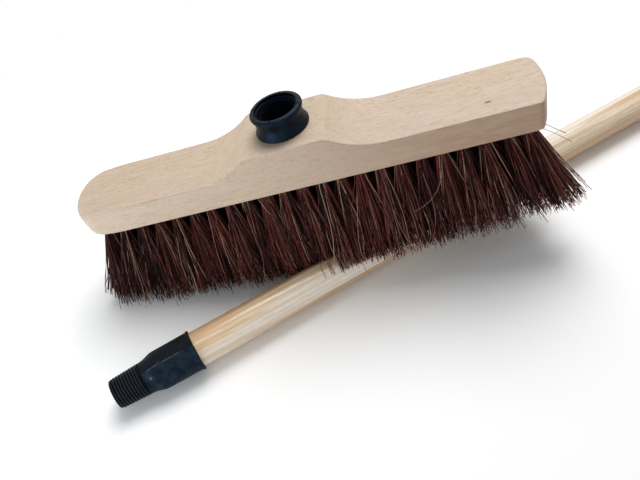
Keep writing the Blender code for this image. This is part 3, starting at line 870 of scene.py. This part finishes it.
steps = [HUMP_TOP / 2 + RAMP_RUN * step / RAMP_STEPS for step in range(RAMP_STEPS + 1)]
steps += [HUMP_TOP / 2 + HUMP_EASE * share for share in (-1.3, *EASE_SHARES)]
stations = [HUMP_SHIFT - out for out in steps] + [HUMP_SHIFT + out for out in steps]
for x in stations:
    bmesh.ops.bisect_plane(bm, geom=bm.verts[:] + bm.edges[:] + bm.faces[:], dist=CUT,
                           plane_co=(x, 0, 0), plane_no=(1, 0, 0))
for vert in bm.verts:
    if vert.co.z > ARM_THICKNESS / 2:
        vert.co.z += hump(vert.co.x) - ARM_THICKNESS
board = finished(bm, "beech_board")

bm = bmesh.new()
for row in range(ROWS):
    for x in row_tufts(row):
        bit(bm, x, row_y(row), -SPARE, HOLE_DEPTH, TUFT_HOLE, 16)
bit(bm, HUMP_SHIFT, 0.0, HUMP_HEIGHT - SPIGOT_DEPTH, HUMP_HEIGHT + SPARE, SPIGOT_HOLE, 64)
combined(board, finished(bm, "borings"), "DIFFERENCE")
board.data.transform(head_place)
shade(board)
dress(board, beech, "head", "stock")

# %% [markdown]
# ## The threaded socket
#
# The socket is a round moulding, so it is a profile spun about an axis. Its thread is a ridge
# that climbs as it turns: the same spin operator makes it when it is given a small rise for
# each step. The ridge is then joined to the wall, and four small dimples are cut in the rim,
# where the mould's pins stood.

# %% Spinning and threading
ROUND_STEPS = 128
THREAD_STEPS = 48
# The ridge's section, from its foot over its crest: how far out, in depths, and along, in pitches.
THREAD_FORM = ((-0.70, -0.42), (0.50, -0.27), (0.96, -0.10),
               (0.96, 0.10), (0.50, 0.27), (-0.70, 0.42))
FADE_START = 0.15
FADE_RATE = 1.6


def spun(profile, name, steps):
    """A round body from a line of (radius, height) points."""
    bm = bmesh.new()
    line = [bm.verts.new((radius, 0.0, height)) for radius, height in profile]
    for pair in zip(line, line[1:]):
        bm.edges.new(pair)
    bmesh.ops.spin(bm, geom=bm.verts[:] + bm.edges[:], cent=(0, 0, 0), axis=(0, 0, 1),
                   angle=math.tau, steps=steps, use_merge=True, use_duplicate=False)
    return finished(bm, name)


def thread_ridge(radius_at, low, high, name, inward=False):
    """A ridge that winds from low to high and fades out at both ends."""
    turns = (high - low) / THREAD_PITCH
    count = round(turns * THREAD_STEPS)
    side = -1 if inward else 1
    bm = bmesh.new()
    loop = [bm.verts.new((side * out * THREAD_DEPTH, 0.0, low + along * THREAD_PITCH))
            for out, along in THREAD_FORM]
    edges = [bm.edges.new(pair) for pair in zip(loop, loop[1:] + loop[:1])]
    for vert in loop:
        vert.co.x += radius_at(low)
    bmesh.ops.spin(bm, geom=loop + edges, cent=(0, 0, 0), axis=(0, 0, 1),
                   dvec=(0, 0, (high - low) / count), angle=math.tau * turns, steps=count)
    bmesh.ops.holes_fill(bm, edges=[edge for edge in bm.edges if edge.is_boundary], sides=0)
    for vert in bm.verts:
        flat = Vector((vert.co.x, vert.co.y))
        out = (flat.length - radius_at(low)) * side
        share = (vert.co.z - low) / (high - low)
        ends = [max(0.0, part * turns * FADE_RATE + FADE_START) for part in (share, 1 - share)]
        radius = radius_at(vert.co.z) + side * (out * min(1.0, *ends) if out > 0 else out)
        vert.co.x, vert.co.y = flat.normalized() * radius
    return finished(bm, name)


# %% Socket
THREAD_PLAY = 0.0004
THREAD_SINK = 0.00005
SOCKET_STAND = 0.0168
SOCKET_FLOOR = -0.0125
SOCKET_SPIGOT = 0.0145
SPIGOT = 0.0165
SPIGOT_EASE = 0.0004
MOUTH_CONE = 0.0045
MOUTH_EASE = 0.0004
# Radius of the mouth, and how far below the rim.
MOUTH = ((0.0141, 0.0030), (0.0146, 0.0023), (0.0155, 0.0019), (0.01572, 0.0003), (0.0160, 0.0))
RIM = 0.01945
RIM_ROUND = (0.0021, 0.0020)
# Radius and height of the outside, below the rim, at the waist and at the flange.
BELOW_RIM = (RIM, 0.0142)
WAIST = (0.0177, 0.0090)
FLANGE = (0.0200, 0.0012)
FLANGE_EASE = 0.0003
DIMPLES = 4
DIMPLE_TURN = math.radians(-10)
DIMPLE_AT = 0.01718
DIMPLE_DEPTH = 0.0020
INNER_RADIUS = 0.0158
INNER_DEPTH = 0.0002


def thread_core(along):
    """Radius at the root of the handle's thread, along from its thick end to its tip."""
    share = along / THREAD_LENGTH
    return (THREAD_BASE + (THREAD_TIP - THREAD_BASE) * share) / 2 - THREAD_DEPTH


def between(first, last, part, bent):
    """A (radius, height) point part of the way down, with its radius on a bent course."""
    return first[0] + (last[0] - first[0]) * bent, first[1] + (last[1] - first[1]) * part


thread_top = SOCKET_STAND - MOUTH_CONE
thread_foot = thread_top - THREAD_LENGTH
wall = THREAD_PLAY + THREAD_DEPTH
narrow, wide = thread_core(THREAD_LENGTH) + wall, thread_core(0.0) + wall
profile = [(0.0, SOCKET_FLOOR), (narrow, SOCKET_FLOOR), (narrow, thread_foot),
           (wide, thread_top - MOUTH_EASE), (wide + MOUTH_EASE, thread_top)]
profile += [(radius, SOCKET_STAND - below) for radius, below in MOUTH]
rim_centre = (RIM - RIM_ROUND[0], SOCKET_STAND - RIM_ROUND[1])
profile += arc(rim_centre, RIM_ROUND, math.pi / 2, 0.0, 6)
for part in (step / 8 for step in range(1, 9)):
    profile.append(between(BELOW_RIM, WAIST, part, math.sin(math.pi / 2 * part)))
for part in (step / 9 for step in range(1, 10)):
    profile.append(between(WAIST, FLANGE, part, part ** 2))
profile += [(FLANGE[0], 2 * FLANGE_EASE), (FLANGE[0] - FLANGE_EASE, FLANGE_EASE),
            (SPIGOT, FLANGE_EASE), (SPIGOT, SPIGOT_EASE - SOCKET_SPIGOT),
            (SPIGOT - SPIGOT_EASE, -SOCKET_SPIGOT), (0.0, -SOCKET_SPIGOT)]
socket = spun(profile, "threaded_socket", ROUND_STEPS)
ridge = thread_ridge(lambda z: thread_core(thread_top - z) + wall + THREAD_SINK,
                     thread_foot + THREAD_PITCH, thread_top - 0.0006, "socket_thread", inward=True)
combined(socket, ridge, "UNION")

bm = bmesh.new()
for hole in range(DIMPLES):
    turn = Matrix.Rotation(DIMPLE_TURN + math.tau * hole / DIMPLES, 4, "Z")
    centre = turn @ Matrix.Translation((DIMPLE_AT, 0.0, SOCKET_STAND))
    bmesh.ops.create_cone(bm, cap_ends=True, segments=20, radius1=0.0007, radius2=0.00078,
                          depth=2 * DIMPLE_DEPTH, matrix=centre)
combined(socket, finished(bm, "rim_dimples"), "DIFFERENCE")
# Faces deep inside the socket take the near-black material, which is painted shade for the hollow.
inner = [face for face in socket.data.polygons
         if math.hypot(*face.center[:2]) < INNER_RADIUS
         and face.center.z < SOCKET_STAND - INNER_DEPTH]
socket.data.transform(head_place @ Matrix.Translation((HUMP_SHIFT, 0.0, HUMP_HEIGHT)))
shade(socket)
dress(socket, socket_plastic, "head", "socket")
socket.data.materials.append(inside_painted_shade)
for face in inner:
    face.material_index = 1
print(len(inner), "faces inside the socket are nearly black")

# %% [markdown]
# ## The threaded end of the handle
#
# The ferrule is made like the socket: a profile spun about Z, with an outer thread. A faint
# parting line runs along the sleeve where the mould's halves met. It is made by lifting the
# points of two opposite columns by about a seventh of a millimetre. A small dimple on the
# shoulder is where the plastic was let into the mould.

# %% Ferrule
SHOULDER = 0.0125
SLEEVE = 0.0291
FERRULE_LENGTH = THREAD_LENGTH + SHOULDER + SLEEVE
SLEEVE_END = (0.01540, 0.0032)
SLEEVE_TAPER = 0.0003
BEAD = (0.0152, 0.0011)
BEAD_ROUND = (0.0010, 0.0011)
BEAD_FOOT = (0.01550, 0.0025)
STICK_BORE = 0.0143
SPIGOT_BORE = 0.0093
BORE_FLOOR = 0.0030
BORE_STEP = 0.0368
BORE_EASE = (0.0003, 0.0004)
THREAD_START = math.radians(20.6)

core_base, core_tip = thread_core(0.0), thread_core(THREAD_LENGTH)
profile = [(0.0, BORE_FLOOR), (SPIGOT_BORE, BORE_FLOOR), (SPIGOT_BORE, BORE_STEP),
           (STICK_BORE, BORE_STEP), (STICK_BORE, FERRULE_LENGTH - BORE_EASE[1]),
           (STICK_BORE + BORE_EASE[0], FERRULE_LENGTH)]
profile += arc((BEAD[0], FERRULE_LENGTH - BEAD[1]), BEAD_ROUND, math.pi / 2, -math.pi / 2, 8)
profile += [(radius, FERRULE_LENGTH - below) for radius, below in (BEAD_FOOT, SLEEVE_END)]
for share in (step / 12 for step in range(1, 12)):
    below = SLEEVE_END[1] + (SLEEVE - SLEEVE_END[1]) * share
    profile.append((SLEEVE_END[0] - SLEEVE_TAPER * share, FERRULE_LENGTH - below))
sleeve_start = SLEEVE_END[0] - SLEEVE_TAPER
shoulder_start = core_base + THREAD_DEPTH / 2
for share in (1 - step / 14 for step in range(15)):
    swell = (1 - math.cos(math.pi * share)) / 2
    profile.append((shoulder_start + (sleeve_start - shoulder_start) * swell,
                    THREAD_LENGTH + SHOULDER * share))
profile += [(core_base, THREAD_LENGTH - 0.0002), (core_tip, 0.0006), (core_tip - 0.0002, 0.0002),
            (core_tip - 0.0006, 0.0), (0.0, 0.0)]
ferrule = spun(profile, "threaded_ferrule", 180)

# %% Parting line, thread and gate mark
PARTING_LIFT = 0.00014
PARTING_HALF = math.radians(1.01)
GATE_DEPTH = 0.01475
GATE_SIZE = 0.0011


def on_sleeve(radius, along):
    """Whether a point of the ferrule is on its outside, between the thread and the bead."""
    bore = SPIGOT_BORE + 0.001 if along < BORE_STEP - 0.0002 else STICK_BORE + 0.0001
    return radius > bore and THREAD_LENGTH < along < FERRULE_LENGTH - BEAD_FOOT[1]


for vert in ferrule.data.vertices:
    radius = math.hypot(vert.co.x, vert.co.y)
    if on_sleeve(radius, vert.co.z):
        turn = math.atan2(vert.co.y, vert.co.x)
        for line in (PARTING_TURN, PARTING_TURN + math.pi):
            if abs((turn - line + math.pi) % math.tau - math.pi) < PARTING_HALF:
                vert.co.x *= 1 + PARTING_LIFT / radius
                vert.co.y *= 1 + PARTING_LIFT / radius

ridge = thread_ridge(lambda z: thread_core(THREAD_LENGTH - z), 0.0009, THREAD_LENGTH - 0.0004,
                     "ferrule_thread")
ridge.data.transform(Matrix.Rotation(THREAD_START, 4, "Z"))
combined(ferrule, ridge, "UNION")
bm = bmesh.new()
gate = Matrix.Rotation(GATE_TURN, 4, "Z") @ Matrix.Translation((GATE_DEPTH, 0.0, GATE_ALONG))
bmesh.ops.create_uvsphere(bm, u_segments=20, v_segments=12, radius=GATE_SIZE, matrix=gate)
combined(ferrule, finished(bm, "gate_mark"), "DIFFERENCE")
ferrule.data.transform(handle_place)
shade(ferrule)
dress(ferrule, ferrule_plastic, "handle", "ferrule")

# %% [markdown]
# ## The stick
#
# The handle is a plain round with a turned-down spigot inside the ferrule and a domed far end.

# %% Stick
STICK_LENGTH = 1.220
DOME = 0.0060
STICK_SHOULDER = 0.0371
STICK_SPIGOT = 0.0090
SPIGOT_START = 0.0033
SPIGOT_EDGE = 0.0005
SIDE_STEPS = 60

dome_foot = STICK_LENGTH - DOME
profile = [(0.0, STICK_LENGTH)]
profile += arc((STICK - DOME, dome_foot), (DOME, DOME), math.pi / 2, 0.0, 10)
profile += [(STICK, dome_foot - (dome_foot - STICK_SHOULDER) * step / SIDE_STEPS)
            for step in range(1, SIDE_STEPS)]
profile += [(STICK, STICK_SHOULDER), (STICK_SPIGOT, STICK_SHOULDER),
            (STICK_SPIGOT, SPIGOT_START + SPIGOT_EDGE),
            (STICK_SPIGOT - SPIGOT_EDGE, SPIGOT_START), (0.0, SPIGOT_START)]
stick = spun(profile, "wooden_stick", 96)
stick.data.transform(handle_place)
shade(stick)
dress(stick, handle_wood, "handle", "handle_stick")

# %% [markdown]
# ## Tufts of fibre
#
# A tuft is a bundle of stiff fibres, folded in half and held in its hole by a piece of flat
# wire. It is as wide as its hole where it leaves the wood, and it spreads towards the tips,
# most of all at the ends of the board and where it is pressed on the floor. Thousands of
# strands are wanted, so each is a simple line of points that Blender's curve tools turn into
# a thin three-sided tube. The random numbers come from one seeded source, so every run gives
# the same broom.
#
# A strand is laid out in four steps: a straight way from root to tip, a bow and a slight wave,
# then over the handle where that is in the way, and last a stop at the floor. Its few points
# are then moved along it, so that most of them stand where it bends.

# %% Where tips go
TRIM_DEPTH = 0.0768
FIBRE_LENGTH = 0.0799
LEFT_FLARE = 0.033
RIGHT_FLARE = 0.025
BACK_FLARE_LOSS = 0.55
PRESSED_SPREAD = 0.95
RAISED_SPREAD = 0.55
CORNER = 0.8
OUTER_ROOT = 0.16195
BUNDLE = 0.0028
# Tones of the middle rows are multiplied by this, as painted shade where the outer rows hide them;
# tufts further out than SEEN_END keep their tones.
INNER_ROWS_PAINTED_SHADE = 0.45
SEEN_END = 0.86
TIP_ALONG = 0.0098
TIP_ACROSS = 0.0072
TIP_WANDER = 0.0048
END_SPREAD = 0.0035
END_STRANDS = 1.6
LEFT_ROOTS = 0.0006
LEFT_TRIM = 0.0085
SHORT_TUFTS = (-0.085, 0.030, 0.003)
STRANDS_IN_TUFT = (178, 130, 122, 130, 178)
LINE_POINTS = 8
FINE_POINTS = 25
STRAND_THICK = 0.00028
HANDLE_CLEAR = STICK + 0.0005
FLOOR_CLEAR = 0.0006

random = np.random.default_rng(11)
to_world = np.array(head_place)
to_stick = np.array(handle_place.inverted())
from_stick = np.array(handle_place)


def moved(matrix, points):
    return points @ matrix[:3, :3].T + matrix[:3, 3]


def towards_back(y):
    """How far back a row is, from 0 for the front one to 1 for the back one."""
    return y / ROW_PITCH / (ROWS - 1) + 0.5


def flared(x, y):
    """Middle of the tips of the tuft rooted at x, y."""
    bend = (abs(x) / OUTER_ROOT) ** 3
    along = (1 + x / OUTER_ROOT) / 2
    spread = PRESSED_SPREAD + (RAISED_SPREAD - PRESSED_SPREAD) * along
    flare = -LEFT_FLARE if x < 0 else RIGHT_FLARE * (1 - BACK_FLARE_LOSS * towards_back(y))
    return x + flare * bend, y * (1 + spread * (1 - CORNER * bend))


# %% Laying strands
BEND_WORTH = 0.012


def resampled(line, length, count):
    """The same line cut at a length, with its points gathered where it bends."""
    steps = np.diff(line, axis=1)
    far = np.linalg.norm(steps, axis=2)
    facing = steps / np.maximum(far, 1e-9)[:, :, None]
    turning = np.arccos(np.clip((facing[:, 1:] * facing[:, :-1]).sum(axis=2), -1, 1))
    worth = far.copy()
    worth[:, :-1] += BEND_WORTH * turning / 2
    worth[:, 1:] += BEND_WORTH * turning / 2
    start = np.zeros((len(line), 1))
    travel = np.concatenate([start, np.cumsum(far, axis=1)], axis=1)
    weighed = np.concatenate([start, np.cumsum(worth, axis=1)], axis=1)
    made = np.empty((len(line), count, 3))
    for index in range(len(line)):
        end = np.interp(min(length[index], travel[index, -1]), travel[index], weighed[index])
        at = np.linspace(0, end, count)
        for axis in range(3):
            made[index, :, axis] = np.interp(at, weighed[index], line[index, :, axis])
    return made


def laid(line, length):
    """Lines in the head's frame brought to the world, over the handle and onto the floor."""
    near = moved(to_stick, moved(to_world, line))
    up, side = -near[:, :, 0], near[:, :, 1]
    inside = (side ** 2 + up ** 2 < HANDLE_CLEAR ** 2)
    first = np.where(inside.any(axis=1), inside.argmax(axis=1), -1)
    for index in np.nonzero(first >= 0)[0]:
        way = 1.0 if side[index, first[index]] >= 0 else -1.0
        rows = np.arange(line.shape[1]) >= first[index]
        edge = np.sqrt(np.maximum(0, HANDLE_CLEAR ** 2 - up[index] ** 2))
        over = np.where(up[index] > 0, edge, HANDLE_CLEAR)
        kept = np.maximum(over, way * side[index])
        side[index] = np.where(rows, way * kept, side[index])
    near[:, :, 1] = side
    world = moved(from_stick, near)
    world[:, :, 2] = np.maximum(world[:, :, 2], FLOOR_CLEAR)
    return resampled(world, length, LINE_POINTS)


# %% Strands of one tuft
ROOT_HEIGHT = 0.004
AT_END = 0.95
BACK_GATHER = 0.6
TUFT_LEAN = 0.0016
WANDER_MOST = 1.9
STRAY_SHARE = 0.12
STRAY_REACH = 1.9
TRIM_SCATTER = 0.0024
SHORT_SHARE = 0.09
SHORTEST = 0.014
SPARE_LENGTH = 0.0025
BOW = 0.0036
END_BOW = 0.0025
BOW_MOST = 0.0085
WILD_SHARE = 0.10
WILD_BOW = 2.2
WAVE = 0.0013
DARK_TONES = (1.05, 1.9)
DARK_MOST = 0.9
PALE_SHARE = 0.16
PALE_TONES = (0.72, 1.0)
REDDISH_TUFTS = 0.55
REDDISH_SIDE = 0.64
REDDISH_TONES = (0.56, 0.74)


def tuft_tones(count, turn):
    """Most strands are dark, a sixth is pale, and over half of the tufts have a reddish side."""
    tone = random.beta(*DARK_TONES, count) * DARK_MOST
    pale = random.uniform(0, 1, count) < PALE_SHARE
    tone[pale] = random.uniform(*PALE_TONES, pale.sum())
    side = random.uniform(0, math.tau)
    reddish = (np.cos(turn - side) > REDDISH_SIDE) & ~pale
    if random.uniform() < REDDISH_TUFTS:
        tone[reddish] = random.uniform(*REDDISH_TONES, reddish.sum())
    return tone


def tuft_strands(row, x, count):
    """Lines and tones of one tuft's strands."""
    y = row_y(row)
    tip_x, tip_y = flared(x, y)
    at_end = abs(x) / OUTER_ROOT > AT_END
    gather = 1 - BACK_GATHER * towards_back(y) if at_end and x > 0 else 1.0
    count = round(count * END_STRANDS) if at_end else count
    turn = random.uniform(0, math.tau, count)
    out = np.sqrt(random.uniform(0, 1, count))
    outward = -out * np.cos(turn) if at_end and x < 0 else np.full(count, -1.0)
    aside = BUNDLE * out * np.cos(turn)
    root_x = x + np.where(outward > -0.5, np.maximum(aside, -LEFT_ROOTS), aside)
    root = np.stack([root_x, y + BUNDLE * out * np.sin(turn), np.full(count, ROOT_HEIGHT)], 1)

    stray = np.where(random.uniform(0, 1, count) < STRAY_SHARE, STRAY_REACH, 1.0)
    wander = np.clip(random.normal(0, 1.0, (count, 2)), -WANDER_MOST, WANDER_MOST)
    wander = wander * TIP_WANDER * stray[:, None] * gather
    along = (TIP_ALONG + (END_SPREAD if at_end else 0.0)) * gather
    lean = random.normal(0, TUFT_LEAN, 2)
    tip = np.stack([tip_x + lean[0] + along * out * np.cos(turn) + wander[:, 0],
                    tip_y + lean[1] + TIP_ACROSS * out * np.sin(turn) + wander[:, 1],
                    np.full(count, -TRIM_DEPTH)], 1)

    short = random.uniform(0, TRIM_SCATTER, count)
    short += np.where(random.uniform(0, 1, count) < SHORT_SHARE,
                      random.uniform(0, SHORTEST, count), 0)
    short += SHORT_TUFTS[2] * math.exp(-((x - SHORT_TUFTS[0]) / SHORT_TUFTS[1]) ** 2)
    longest = FIBRE_LENGTH + SPARE_LENGTH - LEFT_TRIM * np.clip(outward, 0, 1)
    length = np.minimum(np.linalg.norm(tip - root, axis=1), longest) - short

    share = np.linspace(0, 1, FINE_POINTS)[None, :, None]
    line = root[:, None, :] + (tip - root)[:, None, :] * share
    flat = np.array([1, 1, 0.1])
    wild = random.uniform(0, 1, (count, 1)) < (0.0 if at_end else WILD_SHARE)
    bow = random.normal(0, END_BOW if at_end else BOW, (count, 3)) * np.where(wild, WILD_BOW, 1.0)
    bow = np.clip(bow, -BOW_MOST, BOW_MOST) * flat
    if at_end:
        bow[:, 0] = -math.copysign(1.0, x) * np.abs(bow[:, 0])
    wave = random.normal(0, WAVE, (count, 3)) * flat
    line = line + bow[:, None, :] * np.sin(math.pi * share) * share ** 0.5
    start = random.uniform(0, math.tau)
    line = line + wave[:, None, :] * np.sin(2 * math.pi * share + start) * share
    return laid(line, length), tuft_tones(count, turn)


# %% [markdown]
# A few strands have strayed far from their tuft, and the eye finds them at once because they
# cross the plain background. They can't be left to chance, so each has its own list of points
# in the head's frame, from its root to its tip. The first numbers are its row, its tone and how
# thick it is next to the others.

# %% Strands that strayed
STRAYS = (
    (0, 0.50, 1.0, (0.1606, -0.0224, 0.004), (0.1750, -0.0230, -0.007), (0.1891, -0.0242, -0.0200)),
    (2, 0.35, 1.0, (0.1606, 0.0000, 0.004), (0.1700, -0.0130, -0.003), (0.1848, -0.0252, -0.0100)),
    (0, 0.86, 0.8, (0.1022, -0.0240, 0.004), (0.0955, -0.0345, -0.024), (0.0747, -0.0375, -0.0396)),
    (0, 0.93, 1.2, (-0.0292, -0.0246, 0.004), (-0.0306, -0.031, -0.011), (-0.0011, -0.045, -0.0601)),
    (0, 0.10, 1.5, (-0.1606, -0.0224, 0.004), (-0.1778, -0.024, -0.029), (-0.1992, -0.0252, -0.0562)),
    (0, 0.62, 1.0, (0.1606, -0.0224, 0.004), (0.1810, -0.0250, -0.030), (0.1985, -0.0262, -0.0590)),
)


def stray_strands(row):
    lines, tones, thick = [], [], []
    share = np.linspace(0, 1, FINE_POINTS)[:, None]
    for of_row, tone, wide, *points in STRAYS:
        if of_row == row:
            root, bend, tip = (np.array(point) for point in points)
            middle = 2 * bend - (root + tip) / 2
            lines.append(root * (1 - share) ** 2 + middle * 2 * share * (1 - share)
                         + tip * share ** 2)
            tones.append(tone)
            thick.append(wide)
    if not lines:
        return np.empty((0, LINE_POINTS, 3)), np.empty(0), np.empty(0)
    return laid(np.array(lines), np.full(len(lines), 1.0)), np.array(tones), np.array(thick)


# %% Strands to a mesh
STRAND_TAPER = 0.84
STRAND_WIDTHS = (0.75, 1.2)
PALE_TONE = 0.8
PALE_WIDTH = 1.2


def strand_section():
    """A triangle that a curve can be given as its section."""
    curve = bpy.data.curves.new("strand_section", "CURVE")
    spline = curve.splines.new("POLY")
    spline.points.add(2)
    for corner, point in enumerate(spline.points):
        angle = math.tau * corner / 3
        point.co = (math.cos(angle), math.sin(angle), 0.0, 1.0)
    spline.use_cyclic_u = True
    return linked("strand_section", curve)


def strand_mesh(name, lines, tones, thick, section):
    curve = bpy.data.curves.new(name, "CURVE")
    curve.dimensions = "3D"
    curve.bevel_mode = "OBJECT"
    curve.bevel_object = section
    curve.use_fill_caps = True
    for line, wide in zip(lines, thick):
        spline = curve.splines.new("POLY")
        spline.points.add(len(line) - 1)
        spline.points.foreach_set("co", np.hstack([line, np.ones((len(line), 1))]).ravel())
        spline.points.foreach_set("radius", np.linspace(1.0, STRAND_TAPER, len(line)) * wide)
    holder = linked(name, curve)
    mesh = evaluated(holder)
    bpy.data.objects.remove(holder)
    values = np.repeat(tones, len(mesh.vertices) // len(lines)).astype(np.float32)
    mesh.attributes.new("fibre_tone", "FLOAT", "POINT").data.foreach_set("value", values)
    mesh.shade_smooth()
    return linked(name, mesh)


section = strand_section()
for row in range(ROWS):
    made = [tuft_strands(row, x, STRANDS_IN_TUFT[row]) for x in row_tufts(row)]
    stray_lines, stray_tones, stray_thick = stray_strands(row)
    lines = np.concatenate([lines for lines, _ in made] + [stray_lines])
    # Painted shade: the middle rows' tufts darker, except near the ends of the board.
    inner = INNER_ROWS_PAINTED_SHADE if 0 < row < ROWS - 1 else 1.0
    shares = [1.0 if abs(x) > SEEN_END * OUTER_ROOT else inner for x in row_tufts(row)]
    tones = [tones * share for share, (_, tones) in zip(shares, made)]
    tones = np.concatenate(tones + [stray_tones])
    wide = random.uniform(*STRAND_WIDTHS, len(lines) - len(stray_lines))
    wide *= np.where(tones[:len(wide)] > PALE_TONE, PALE_WIDTH, 1.0)
    thick = STRAND_THICK * np.concatenate([wide, stray_thick])
    piece = strand_mesh("fibre_row_" + str(row + 1), lines, tones, thick, section)
    dress(piece, fibre, "head", "bristle_row_" + str(row + 1))
bpy.data.objects.remove(section)

# %% [markdown]
# ## Anchors in the holes
#
# Each tuft is folded over a short piece of flat wire that is driven into the sides of its
# hole. The wires can't be seen, but they are what holds the fibres in, so each is made as a
# small eased plate across the top of its hole.

# %% Anchors
ANCHOR = (0.0056, 0.0005, 0.0022)
ANCHOR_AT = 0.0098
ANCHOR_EASE = 0.00012

for row in range(ROWS):
    bm = bmesh.new()
    for x in row_tufts(row):
        place = Matrix.Translation((x, row_y(row), ANCHOR_AT)) @ Matrix.Diagonal((*ANCHOR, 1.0))
        bmesh.ops.create_cube(bm, size=1.0, matrix=place)
    bmesh.ops.bevel(bm, geom=bm.edges[:], offset=ANCHOR_EASE, segments=1, profile=0.5,
                    affect="EDGES", material=-1)
    piece = shade(finished(bm, "anchor_wires_" + str(row + 1), head_place))
    dress(piece, wire, "head", "anchors_row_" + str(row + 1))

# %% [markdown]
# ## Floor, light and camera
#
# The floor is plain and pale. Where the camera sees it far from the broom it glows at exactly
# white, and near the broom it is a matt surface that keeps the shadow. Light Path tells the
# two apart from what the broom itself sees, so the white adds no light to the wood.
#
# A large soft lamp stands behind and to the right, so the shadow falls towards the viewer. A
# low cool panel at the left lights the ends of the faces that look that way, and a very weak
# warm one in front takes the harshness off the shade there.

# %% Floor
FLOOR_SIZE = 4.0
FLOOR_ALBEDO = 0.86
FLOOR_LIFT = 0.24
NEAR_FLOOR = 0.33
FAR_FLOOR = 0.62
BROOM_SHIFT = (0.18, 0.0, 0.0)
BROOM_STRETCH = (0.45, 1.0, 1.0)


def matt_shader(tree, value):
    node = add_node(tree, "ShaderNodeBsdfDiffuse")
    settle(node, {"Color": (value, value, value, 1.0)})
    return node.outputs[0]


def mixed_shader(tree, share, first, second):
    node = add_node(tree, "ShaderNodeMixShader")
    for slot, source in zip(node.inputs, (share, first, second)):
        join(tree, source, slot)
    return node.outputs[0]


bm = bmesh.new()
bmesh.ops.create_grid(bm, x_segments=1, y_segments=1, size=FLOOR_SIZE)
floor = finished(bm, "floor")
pale_floor, tree, shader = plain_material("pale_floor")
tree.nodes.remove(shader)
matt = matt_shader(tree, FLOOR_ALBEDO)
lifted = add_node(tree, "ShaderNodeAddShader")
for slot, source in zip(lifted.inputs, (matt, matt_shader(tree, FLOOR_LIFT))):
    join(tree, source, slot)
round_broom = add_node(tree, "ShaderNodeMapping")
settle(round_broom, {"Location": BROOM_SHIFT, "Scale": BROOM_STRETCH})
join(tree, object_vector(tree), round_broom.inputs["Vector"])
away = add_node(tree, "ShaderNodeVectorMath", operation="LENGTH")
join(tree, round_broom.outputs[0], away.inputs[0])
glow = ranged(tree, away.outputs["Value"], NEAR_FLOOR, FAR_FLOOR)
white = add_node(tree, "ShaderNodeEmission").outputs[0]
shown = mixed_shader(tree, glow, lifted.outputs[0], white)
rays = add_node(tree, "ShaderNodeLightPath").outputs
either = mixed_shader(tree, rays["Is Camera Ray"], matt, shown)
join(tree, either, tree.nodes["Material Output"].inputs["Surface"])
floor.data.materials.append(pale_floor)

# %% World
AMBIENT = 0.31
BACKDROP = 1.0


def plain_background(tree, strength):
    node = add_node(tree, "ShaderNodeBackground")
    settle(node, {"Color": (1.0, 1.0, 1.0, 1.0), "Strength": strength})
    return node.outputs[0]


world = bpy.data.worlds.new("studio")
bpy.context.scene.world = world
world.use_nodes = True
tree = world.node_tree
tree.nodes.clear()
rays = add_node(tree, "ShaderNodeLightPath").outputs
mirrored = plus(tree, rays["Is Camera Ray"], rays["Is Glossy Ray"])
seen = plus(tree, mirrored, rays["Is Transmission Ray"], clamp=True)
either = mixed_shader(tree, seen, plain_background(tree, AMBIENT), plain_background(tree, BACKDROP))
join(tree, either, add_node(tree, "ShaderNodeOutputWorld").inputs["Surface"])

# %% Lamps
# Each has its shape, its place and aim, its size, its power and its colour.
LAMPS = {
    "key": ("DISK", (0.04, 0.50, 1.40), (-0.38, 0.0, 0.0), (1.1, 1.1), 18.4, (1.0, 1.0, 1.0)),
    "cool_panel": ("RECTANGLE", (-1.00, -0.15, 0.07), (-0.50, 0.0, 0.07), (0.40, 0.10), 1.7,
                   (0.84, 0.93, 1.0)),
    "front_fill": ("RECTANGLE", (-0.80, -0.42, 0.14), (-0.50, -0.04, 0.016), (0.30, 0.12), 0.22,
                   (1.0, 0.95, 0.88)),
}

for name, (shape, place, aim, size, power, colour) in LAMPS.items():
    data = bpy.data.lights.new(name, "AREA")
    data.shape = shape
    data.size, data.size_y = size
    data.energy = power
    data.color = colour
    lamp = linked(name, data)
    lamp.location = place
    lamp.rotation_euler = (Vector(aim) - Vector(place)).to_track_quat("-Z", "Y").to_euler()
    lamp.visible_camera = False
print(len(LAMPS), "lamps")

# %% Camera
CAMERA_PLACE = (-0.517149, -0.318044, 0.359489)
CAMERA_TURN = (42.9352, 10.4768, -29.116)

data = bpy.data.cameras.new("camera")
data.sensor_width = 36.0
data.lens = 31.5
camera = linked("camera", data)
camera.location = CAMERA_PLACE
camera.rotation_euler = Euler([math.radians(turn) for turn in CAMERA_TURN], "XYZ")
bpy.context.scene.camera = camera
bpy.context.scene.view_settings.view_transform = "Standard"
